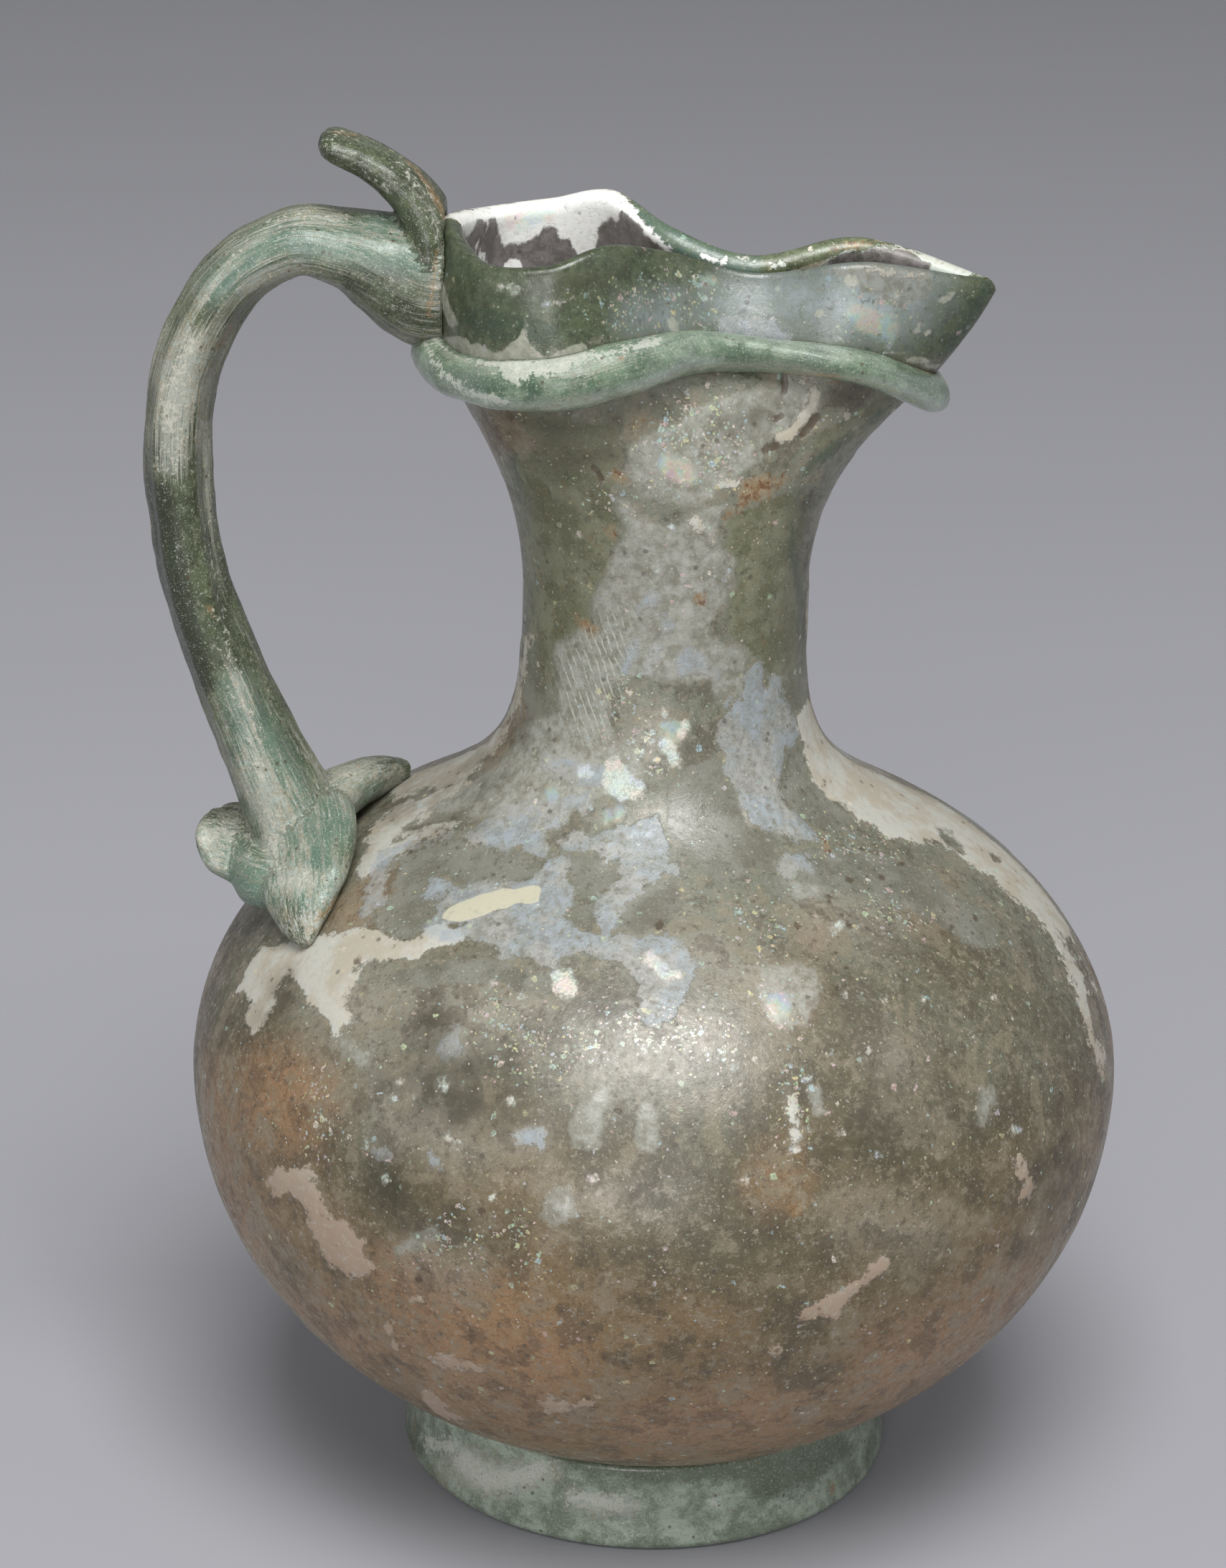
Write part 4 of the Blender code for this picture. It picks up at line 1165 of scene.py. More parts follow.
def mark_glass(vessel, outer_rings, crest_rings, inner):
    """Give the clear lip the vessel's second material, and the far lobes' crusted lining the third."""
    film, clear, lining = 0, 1, 2
    outer_far = np.sin(near_angles(OUTER_SEGMENTS)) > 0
    inner_far = np.sin(near_angles(INNER_SEGMENTS)) > 0
    shares = np.ones(outer_rings + crest_rings - 1)
    shares[:outer_rings] = 0
    shares[outer_rings - MOUTH_RINGS - 1:outer_rings] = np.linspace(0, 1, MOUTH_RINGS + 1)
    trail_places = mouth_values(near_angles(OUTER_SEGMENTS))[:, 6]
    outside = np.where(shares[:, None] > trail_places[None, :], clear, film)
    outside[outer_rings:] = np.where(outer_far, lining, clear)
    edge = np.repeat(np.where(inner_far, lining, clear), 3)
    kinds = np.where(inner[:-1, :, 1] > 0, lining, clear)
    inside = np.where(inner[:-1, :, 2] > LINING_HEIGHT, kinds, film)
    slots = np.zeros(len(vessel.data.polygons), np.int32)
    marked = np.concatenate((outside.ravel(), edge, inside.ravel()))
    slots[:marked.size] = marked
    vessel.data.polygons.foreach_set("material_index", slots)


def vessel_faces(outer_rings, inner_rings, outer_pole):
    """Return the faces of both walls, of the step between their segments and of the two base centres."""
    first_inner = outer_rings * OUTER_SEGMENTS
    faces = ring_faces(0, outer_rings, OUTER_SEGMENTS)
    faces += halving_faces(first_inner - OUTER_SEGMENTS, first_inner, INNER_SEGMENTS)
    faces += ring_faces(first_inner, inner_rings, INNER_SEGMENTS)
    faces += [((j + 1) % OUTER_SEGMENTS, j, outer_pole) for j in range(OUTER_SEGMENTS)]
    last_ring = outer_pole - INNER_SEGMENTS
    for j in range(INNER_SEGMENTS):
        faces.append((last_ring + j, last_ring + (j + 1) % INNER_SEGMENTS, outer_pole + 1))
    return faces


def make_vessel(grid, normals):
    """Make the vessel: outer wall with its weathering, rounded rim, inner wall and floor."""
    names = list(LAYER_EDGES)
    outer_fields = weathering(grid, normals, OUTSIDE_LAYERS, names)
    outer = grid + normals * outer_relief(grid, outer_fields)[..., None]

    crest = rim_crest(outer[-1], grid[-1] - normals[-1] * RIM_WALL)
    crest_up = np.broadcast_to(np.array((0, 0, 1.0)), crest.shape)
    near_crest = weathering(crest, crest_up, OUTSIDE_LAYERS, names)
    far_crest = weathering(crest, crest_up, INSIDE_LAYERS, names)
    far = smooth_step(crest[..., 1], -CREST_BLEND, CREST_BLEND)
    inner, inner_normals = inner_wall()
    inner_fields = weathering(inner, inner_normals, INSIDE_LAYERS, names)

    parts = {}
    for name in names:
        crest_field = mix(near_crest[name], far_crest[name], far)
        parts[name] = outer_fields[name], crest_field, inner_fields[name], np.zeros(2)
    low = smooth_drop(inner[..., 2], LINING_HEIGHT, LINING_HEIGHT + LINING_FADE)
    lined = np.maximum(low, smooth_step(inner[..., 1], -LINING_BLEND, LINING_BLEND))
    rounded = (np.arange(1, CREST_RINGS + 1) / CREST_RINGS)[:, None] * far
    parts["inside"] = np.zeros(outer.shape[:2]), rounded, lined, np.ones(2)
    outer_lip = np.zeros(outer.shape[:2])
    outer_lip[-LIP_RINGS:] = np.linspace(0.3, 1, LIP_RINGS)[:, None]
    parts["lip"] = outer_lip, np.ones(crest.shape[:2]), 1 - lined, np.zeros(2)
    fields = {name: np.concatenate([part.ravel() for part in row]) for name, row in parts.items()}

    base = lower_height(BASE_RADIUS) + BASE_KICK
    poles = np.array(((0, 0, base), (0, 0, base + BASE_WALL)))
    points = np.concatenate([part.reshape(-1, 3) for part in (outer, crest, inner, poles)])
    faces = vessel_faces(len(outer) + len(crest), len(inner), len(points) - 2)
    vessel = make_piece("weathered_vessel", points, faces, fields)
    mark_glass(vessel, len(outer), len(crest), inner)
    return vessel


def foot_profile():
    """Return the foot ring's profile as (radius, height), from the outer seam down and round."""
    side_steps, edge_steps, top_steps = 12, 8, 8
    inner_radius = FOOT_RADIUS - FOOT_THICKNESS
    waist = FOOT_RADIUS - FOOT_WAIST
    profile = []
    for step in range(side_steps):
        share = step / side_steps
        flare = FOOT_WAIST * share ** 3
        profile.append((waist + flare, mix(lower_height(waist) - SEAM, FOOT_EDGE, share)))
    corners = ((FOOT_RADIUS - FOOT_EDGE, 0), (inner_radius + FOOT_EDGE, math.pi / 2))
    for radius, turned in corners:
        for step in range(edge_steps + 1):
            swing = turned + math.pi / 2 * step / edge_steps
            profile.append((radius + FOOT_EDGE * math.cos(swing), FOOT_EDGE - FOOT_EDGE * math.sin(swing)))
    for step in range(1, side_steps + 1):
        share = step / side_steps
        profile.append((inner_radius, mix(FOOT_EDGE, lower_height(inner_radius) - SEAM, share)))
    for step in range(1, top_steps):
        radius = mix(inner_radius, waist, step / top_steps)
        profile.append((radius, lower_height(radius) - SEAM))
    return profile


def make_foot():
    """Make the foot ring: turned, seated under the body, with the unevenness of a hand-made ring."""
    across = outward_directions(turn_angles(FOOT_SEGMENTS))
    rings = np.array([across * radius + (0, 0, height) for radius, height in foot_profile()])
    outward = grid_normals(rings[::-1])[::-1]
    free = smooth_step(rings[..., 2], *FOOT_FADE) * smooth_drop(rings[..., 2], *FOOT_SEAM_FADE)
    relief = unevenness(rings, (0.10 * MM, 7 * MM, 21), (0.03 * MM, 1.5 * MM, 22))
    rings = rings + outward * (relief * free)[..., None]
    scattered = np.clip(0.4 + noise_at(rings, 6 * MM, seed=23, octaves=3), 0, 1)
    drawn = drawn_layers(rings, FOOT_LAYERS, soft=14)
    seen = smooth_step(facing(rings, outward), *SEEN_FROM)
    fields = {
        "frost": mix(scattered, 0.1 + 0.9 * drawn["frost"], seen),
        "deep": mix(0.3 * scattered, drawn["deep"], seen),
        "white": mix(0.4 * scattered, drawn["white"], seen),
        "crust": 0.6 * np.clip(0.2 + noise_at(rings, 4 * MM, seed=24, octaves=3), 0, 1),
        "grain": rings / MM,
    }
    faces = [face[::-1] for face in ring_faces(0, len(rings), FOOT_SEGMENTS, closed=True)]
    return make_piece("glass_foot_ring", rings, faces, fields)


def trail_rings(angles):
    """Return the trail's sections, down the wall and round the outside, and its outward directions."""
    values = mouth_values(angles)
    place, height = values[:, 6], values[:, 7]
    centre = mouth_points(values, angles, place)
    up_wall = (mouth_points(values, angles, place + PROBE_SHARE) - centre) / PROBE_SHARE
    beside = mouth_values(angles + PROBE_ANGLE)
    across = mouth_points(beside, angles + PROBE_ANGLE, place) - centre
    outward = unit(np.cross(across, up_wall))
    wander = outward_directions(angles) * 0.02
    reach = height / (2 * np.linalg.norm(up_wall, axis=-1))
    shift = 0.06 * reach * noise_at(wander, 0.006, seed=32, octaves=2)
    bulge = TRAIL_BULGE * (1 + 0.10 * noise_at(wander, 0.004, seed=31, octaves=2))
    low = mouth_points(values, angles, place - reach + shift)
    high = mouth_points(values, angles, place + reach + shift)
    loops = []
    for number in range(TRAIL_WALL_POINTS):
        share = mix(place + reach, place - reach, number / (TRAIL_WALL_POINTS - 1)) + shift
        loops.append(mouth_points(values, angles, share) + outward * SEAM)
    for number in range(1, TRAIL_OUTER_POINTS + 1):
        swing = math.pi * number / (TRAIL_OUTER_POINTS + 1)
        along = mix(low, high, (1 - math.cos(swing)) / 2)
        loops.append(along + outward * (SEAM + bulge * math.sin(swing) ** 0.8)[:, None])
    return np.array(loops).transpose(1, 0, 2), outward


def make_trail():
    """Make the thread wound round the mouth, a seam's width off the wall that it was laid on."""
    angles = turn_angles(TRAIL_SECTIONS)
    rings, outward = trail_rings(angles)
    normals = unit(np.cross(np.roll(rings, -1, 1) - np.roll(rings, 1, 1),
                            np.roll(rings, -1, 0) - np.roll(rings, 1, 0)))
    if (normals[:, TRAIL_WALL_POINTS + TRAIL_OUTER_POINTS // 2] * outward).sum() < 0:
        normals = -normals
    free = np.zeros(rings.shape[1])
    swings = math.pi * np.arange(1, TRAIL_OUTER_POINTS + 1) / (TRAIL_OUTER_POINTS + 1)
    free[TRAIL_WALL_POINTS:] = np.sin(swings)
    relief = unevenness(rings, (0.11 * MM, 3 * MM, 33), (0.03 * MM, 0.9 * MM, 34))
    rings = rings + normals * (relief * free)[..., None]

    upper = np.zeros(rings.shape[:2])
    upper[:, TRAIL_WALL_POINTS:] = np.linspace(0, 1, TRAIL_OUTER_POINTS)
    back = smooth_step(-np.cos(angles), 0.2, 0.9)[:, None]
    scatter = noise_at(rings, 5 * MM, seed=35, octaves=3)
    frost = 0.45 * smooth_step(upper, 0.6, 1) + 0.18 * back + 0.4 * scatter
    white = np.clip(smooth_step(upper, 0.75, 1) + scatter - 0.4, 0, 1)
    crust = np.clip(0.15 + noise_at(rings, 4 * MM, seed=36, octaves=3), 0, 1)
    round_share = np.broadcast_to(np.linspace(-1, 1, rings.shape[1]), rings.shape[:2])
    along_trail = np.broadcast_to((angles * 16)[:, None], rings.shape[:2])
    drawn = drawn_layers(rings, TRAIL_LAYERS, soft=9)
    seen = smooth_step(facing(rings, normals), *SEEN_FROM)
    fields = {
        "frost": np.clip(mix(frost, 0.15 + 0.5 * drawn["haze"] + 0.2 * scatter, seen), 0, 1),
        "deep": mix(0.3 + 0.5 * scatter, drawn["green"], seen),
        "white": mix(white, drawn["flakes"], seen),
        "crust": mix(crust, drawn["rust"], seen),
        "grain": np.stack((round_share * 4, rings[..., 2] / MM * 0.3, along_trail), -1),
    }
    faces = ring_faces(0, TRAIL_SECTIONS, rings.shape[1], closed=True)
    return make_piece("glass_mouth_trail", rings, faces, fields)


# The handle's straps in the order in which make_straps returns them; the rest are the claw's prongs
LEG, THUMB_REST = 0, 1

# How frosted the leg is at shares of its length, from the rim to the shoulder, and the other straps
FROST_KEYS = [
    (-0.2, 0.42), (0.0, 0.40), (0.12, 0.34), (0.22, 0.40), (0.30, 0.36), (0.37, 0.50), (0.45, 0.46),
    (0.50, 0.22), (0.68, 0.18), (0.78, 0.36), (0.88, 0.50), (1.0, 0.44), (1.2, 0.40),
]
THUMB_FROST = 0.10
CLAW_FROST = 0.46

# A strap's section: how many points it has, the power of its cosine that makes it a little squarer
# than an ellipse, and how many ribs a ribbed one has
SECTION_POINTS = 40
SECTION_POWER = 0.85
RIB_COUNT = 6

# How far apart in the noise the places of two straps lie
STRAP_SPACING = 0.05
STRAP_GRAIN_SPACING = 37


def key(centre, side, half_width, half_thickness):
    """Return one key of a strap: its centre, its width's direction and its half sizes."""
    return np.array((*centre, *side, half_width, half_thickness))


def handle_keys():
    """Return the keys of the strap from inside the rim, over the arch, down into the shoulder."""
    across = (0, 1, 0)
    wide, thick, fin = HANDLE_WIDTH / 2, HANDLE_THICKNESS / 2, FIN_DEPTH / 2
    foot_radius, foot_height = shoulder_point(CLAW_LATITUDE)
    joint_height = RIM_HEIGHT - fin

    def arch(x_share, z_share):
        return (mix(-BACK_REACH, -HANDLE_REACH, x_share), 0, mix(foot_height, ARCH_HEIGHT, z_share))

    def leg(x_share, z_share):
        return (mix(-foot_radius, -HANDLE_REACH, x_share), 0, mix(foot_height, ARCH_HEIGHT, z_share))

    return [
        key((-BACK_REACH + 1.25 * thick, 0, joint_height), across, wide, fin),
        key((-BACK_REACH - 0.50 * thick, 0, joint_height), across, 1.08 * wide, fin),
        key((-BACK_REACH - 1.75 * thick, 0, mix(joint_height, ARCH_HEIGHT, 0.45)), across, 1.04 * wide,
            0.82 * fin),
        key(arch(0.35, 0.990), across, wide, 1.2 * thick),
        key(arch(0.55, 1.0), across, wide, thick),
        key(arch(0.78, 0.941), across, wide, thick),
        key(arch(0.95, 0.814), across, wide, thick),
        key(arch(1.0, 0.676), across, wide, thick),
        key(leg(0.94, 0.52), across, wide, thick),
        key(leg(0.79, 0.393), across, wide, 1.05 * thick),
        key(leg(0.40, 0.19), across, 1.05 * wide, 1.25 * thick),
        key(leg(0.18, 0.089), across, 1.15 * wide, 1.45 * thick),
        key(leg(0, 0), across, 1.3 * wide, 1.6 * thick),
        key(leg(-0.15, -0.06), across, 1.3 * wide, 1.6 * thick),
    ]


def thumb_keys():
    """Return the keys of the thumb rest: up from the rim and folded back over the handle."""
    across = (0, 1, 0)
    wide, thick = THUMB_WIDTH / 2, THUMB_THICKNESS / 2
    rim = np.array((-BACK_REACH, 0, RIM_HEIGHT))
    tip = rim + (-THUMB_REACH, 0, THUMB_RISE)

    def fold(x_share, z_share):
        return (mix(rim[0], tip[0], x_share), 0, mix(rim[2], tip[2], z_share))

    return [
        key(fold(0.09, -0.45), across, 1.5 * wide, 1.4 * thick),
        key(fold(0.11, -0.03), across, 1.45 * wide, 1.35 * thick),
        key(fold(0.22, 0.28), across, 1.25 * wide, 1.25 * thick),
        key(fold(0.40, 0.55), across, 1.08 * wide, 1.1 * thick),
        key(fold(0.61, 0.74), across, wide, thick),
        key(fold(0.81, 0.87), across, wide, 0.93 * thick),
        key(fold(0.96, 0.97), across, 0.86 * wide, 0.75 * thick),
        key(fold(1.01, 1.0), across, 0.4 * wide, 0.3 * thick),
    ]


def on_shoulder(turn, latitude, lift):
    """Return a point above the shoulder, its turn measured from the handle towards the near side."""
    radius, height = shoulder_point(math.radians(latitude))
    normal = unit(np.array((radius / BODY_RADIUS ** 2, (height - BELLY_HEIGHT) / UPPER_RISE ** 2)))
    radius, height = np.array((radius, height)) + normal * lift
    azimuth = math.pi + math.radians(turn)
    return np.array((radius * math.cos(azimuth), radius * math.sin(azimuth), height))


def claw_keys(prong):
    """Return the keys of one prong that lies along the shoulder.

    A prong is rows of (turn, latitude beyond the claw's, lift, half width, half thickness), the last
    three as shares of the handle's thickness, its width and its thickness.
    """
    keys = []
    for turn, climb, lift, wide, thick in prong:
        latitude = math.degrees(CLAW_LATITUDE) + climb
        place = on_shoulder(turn, latitude, lift * HANDLE_THICKNESS)
        side = unit(on_shoulder(turn, latitude + 1, 0) - on_shoulder(turn, latitude, 0))
        keys.append(key(place, side, wide * HANDLE_WIDTH, thick * HANDLE_THICKNESS))
    return keys


def back_prong_keys():
    """Return the keys of the prong that stands off the body behind the handle and curls up.

    Its rows are the way towards the body, up and to the far side, then half width and half thickness.
    Up and half thickness are shares of the handle's thickness, and the others of its width.
    """
    foot_radius, foot_height = shoulder_point(CLAW_LATITUDE)
    tilted = (0, 0.9, 0.42)
    rows = [
        (0.02, 0.48, 0, 0.52, 0.45),
        (-0.50, 0.22, -0.11, 0.50, 0.33),
        (-0.78, 0.32, -0.20, 0.42, 0.26),
        (-0.92, 0.55, -0.25, 0.28, 0.18),
        (-0.97, 0.70, -0.27, 0.10, 0.06),
    ]
    keys = []
    for inward, up, far, wide, thick in rows:
        height = foot_height + up * HANDLE_THICKNESS
        centre = (-foot_radius + inward * HANDLE_WIDTH, far * HANDLE_WIDTH, height)
        keys.append(key(centre, tilted, wide * HANDLE_WIDTH, thick * HANDLE_THICKNESS))
    return keys


NEAR_PRONG = [
    (0, 1, 0.54, 0.52, 0.50),
    (10, 1.5, 0.46, 0.54, 0.44),
    (18, -0.5, 0.33, 0.44, 0.33),
    (24, -4, 0.19, 0.26, 0.23),
    (28, -6.5, 0.08, 0.06, 0.10),
]
FAR_PRONG = [
    (0, 2, 0.54, 0.50, 0.50),
    (-7, 6, 0.46, 0.44, 0.44),
    (-14, 9.5, 0.33, 0.34, 0.35),
    (-20, 12.5, 0.17, 0.16, 0.19),
]


def web_keys():
    """Return the keys of the short web of glass between the near prong and the back prong."""
    foot_radius, foot_height = shoulder_point(CLAW_LATITUDE)
    near = on_shoulder(17, math.degrees(CLAW_LATITUDE) - 2, 0.30 * HANDLE_THICKNESS)
    back = np.array((-foot_radius - 0.62 * HANDLE_WIDTH, -0.22 * HANDLE_WIDTH,
                     foot_height + 0.10 * HANDLE_THICKNESS))
    middle = (near + back) / 2 + (-0.0008, -0.0010, -0.0002)
    side = (0, 0.5, 0.8)
    sizes = ((0.20, 0.22), (0.26, 0.30), (0.20, 0.22))
    return [key(centre, side, wide * HANDLE_WIDTH, thick * HANDLE_THICKNESS)
            for centre, (wide, thick) in zip((near, middle, back), sizes)]


class Strap:
    """A closed strap of drawn glass that runs smoothly through its keys."""

    def __init__(self, keys, steps, ribs=0.0):
        places = [0.0]
        for before, after in zip(keys, keys[1:]):
            places.append(places[-1] + np.linalg.norm(after[0:3] - before[0:3]))
        track = list(zip(places, keys))
        length, nudge = places[-1], places[-1] / 100
        self.along = np.linspace(0, length, steps + 1)
        centres, sides, faces, rings = [], [], [], []
        for place in self.along:
            values = spline(track, place)
            ahead = spline(track, min(place + nudge, length))[0:3]
            along = unit(ahead - spline(track, max(place - nudge, 0))[0:3])
            side = values[3:6] - along * (values[3:6] @ along)
            side = unit(side)
            face = np.cross(side, along)
            turn = turn_angles(SECTION_POINTS)
            wide = np.sign(np.cos(turn)) * np.abs(np.cos(turn)) ** SECTION_POWER * values[6]
            deep = np.sin(turn) * (values[7] - ribs * np.cos(RIB_COUNT * turn))
            centres.append(values[0:3])
            sides.append(side)
            faces.append(face)
            rings.append(values[0:3] + wide[:, None] * side + deep[:, None] * face)
        self.centres, self.sides, self.faces = np.array(centres), np.array(sides), np.array(faces)
        self.rings = np.array(rings)

    def solid(self, first):
        """Return the strap's points and faces, numbered from first."""
        count, segments = self.rings.shape[:2]
        ends = self.rings[[0, -1]].mean(1)
        points = np.concatenate((self.rings.reshape(-1, 3), ends))
        faces = ring_faces(first, count, segments)
        pole = first + count * segments
        last = pole - segments
        for j in range(segments):
            k = (j + 1) % segments
            faces.append((first + k, first + j, pole))
            faces.append((last + j, last + k, pole + 1))
        return points, faces


def make_straps():
    """Return the straps that the handle is made of: the leg, the thumb rest, three prongs and a web."""
    return [
        Strap(handle_keys(), 320, ribs=0.22 * MM),
        Strap(thumb_keys(), 70),
        Strap(claw_keys(NEAR_PRONG), 70),
        Strap(claw_keys(FAR_PRONG), 60),
        Strap(back_prong_keys(), 60),
        Strap(web_keys(), 40),
    ]


def fuse(straps):
    """Return the points, normals and faces of the straps melted into one closed skin."""
    points, faces = [], []
    count = 0
    for strap in straps:
        strap_points, strap_faces = strap.solid(count)
        points.append(strap_points)
        faces += strap_faces
        count += len(strap_points)
    mesh = bpy.data.meshes.new("straps")
    mesh.from_pydata(np.concatenate(points).tolist(), [], faces)
    item = add_object("straps", mesh)
    remesh = item.modifiers.new("melt", "REMESH")
    remesh.mode = "VOXEL"
    remesh.voxel_size = HANDLE_VOXEL
    smooth = item.modifiers.new("settle", "SMOOTH")
    smooth.iterations = 8
    smooth.factor = 0.5
    melted = bpy.data.meshes.new_from_object(item.evaluated_get(bpy.context.evaluated_depsgraph_get()))
    coords = np.empty(len(melted.vertices) * 3, np.float32)
    melted.vertices.foreach_get("co", coords)
    normals = np.empty(len(melted.vertices) * 3, np.float32)
    melted.vertices.foreach_get("normal", normals)
    quads = [tuple(polygon.vertices) for polygon in melted.polygons]
    bpy.data.objects.remove(item)
    return coords.reshape(-1, 3).astype(float), normals.reshape(-1, 3).astype(float), quads


def strap_places(straps, points):
    """Return each point's place on its nearest strap: across, through and along it, and its number."""
    tree = KDTree(sum(strap.rings.shape[0] * strap.rings.shape[1] for strap in straps))
    owners = []
    for number, strap in enumerate(straps):
        for ring, ring_points in enumerate(strap.rings):
            for point in ring_points:
                tree.insert(point, len(owners))
                owners.append((number, ring))
    tree.balance()
    places = np.empty((len(points), 4))
    for i, point in enumerate(points):
        number, ring = owners[tree.find(point)[1]]
        strap = straps[number]
        offset = point - strap.centres[ring]
        direction = np.cross(strap.faces[ring], strap.sides[ring])
        places[i] = (offset @ strap.sides[ring], offset @ strap.faces[ring],
                     strap.along[ring] + offset @ direction, number)
    return places


def stand_off(points, wall, faces, gap):
    """Return the points with those inside a wall, or nearer than a gap, moved out of it."""
    tree = BVHTree.FromPolygons(wall.tolist(), faces)
    moved = points.copy()
    for i, point in enumerate(points):
        nearest, normal, _, _ = tree.find_nearest(point)
        depth = (Vector(point) - nearest).dot(normal)
        if depth < gap:
            moved[i] = point + np.array(normal) * (gap - depth)
    return moved


def make_handle(grid):
    """Make the handle with its thumb rest and claw, seated on the vessel's outer wall."""
    straps = make_straps()
    points, normals, faces = fuse(straps)
    places = strap_places(straps, points)
    number = places[:, 3]
    streak_place = places[:, :3] * (1, 1, 0.07) + places[:, 3:] * STRAP_SPACING
    streaks = noise_at(streak_place, 0.9 * MM, seed=41, octaves=3)
    lumps = unevenness(points, (0.13 * MM, 5 * MM, 42), (0.05 * MM, 1.7 * MM, 45))
    points = points + normals * (0.08 * MM * streaks + lumps)[:, None]
    wall = grid[:, ::4]
    wall_faces = ring_faces(0, len(wall), wall.shape[1])
    points = stand_off(points, wall.reshape(-1, 3), wall_faces, SEAM)

    share = np.where(number == LEG, places[:, 2] / straps[LEG].along[-1], 1.0)
    frost = np.interp(share, *zip(*FROST_KEYS))
    frost = np.where(number == THUMB_REST, THUMB_FROST, frost)
    frost = np.where(number > THUMB_REST, CLAW_FROST, frost)
    deep = smooth_drop(frost, 0.20, 0.30)
    teal = np.where(number > THUMB_REST, 1.0, smooth_step(share, 0.74, 0.86))
    crust = np.clip(0.15 + noise_at(points, 4 * MM, seed=44, octaves=3), 0, 1)
    scatter = noise_at(points, 6 * MM, seed=43, octaves=3)

    seen = smooth_step(facing(points, normals), *HANDLE_SEEN_FROM)
    drawn = drawn_layers(points, HANDLE_LAYERS, soft=14)
    painted = frost + 0.32 * drawn["haze"] - 0.25 * drawn["green"]
    fields = {
        "frost": np.clip(mix(frost, painted, seen) + 0.22 * scatter, 0, 1),
        "deep": np.maximum(mix(deep, drawn["green"], seen), 0.28 * (number == THUMB_REST)),
        "white": 0.42 * seen * drawn["haze"],
        "teal": mix(teal, drawn["teal"], seen) * (number != THUMB_REST),
        "crust": mix(crust, drawn["rust"], seen),
        "grain": places[:, :3] / MM + places[:, 3:] * STRAP_GRAIN_SPACING,
    }
    return make_piece("drawn_glass_handle", points, faces, fields)


def colour(red, green, blue):
    """Return a linear colour from the sRGB values, 0 to 255, that the photograph shows."""
    linear = []
    for value in (red, green, blue):
        share = value / 255
        linear.append(share / 12.92 if share <= 0.04045 else ((share + 0.055) / 1.055) ** 2.4)
    return (*linear, 1.0)


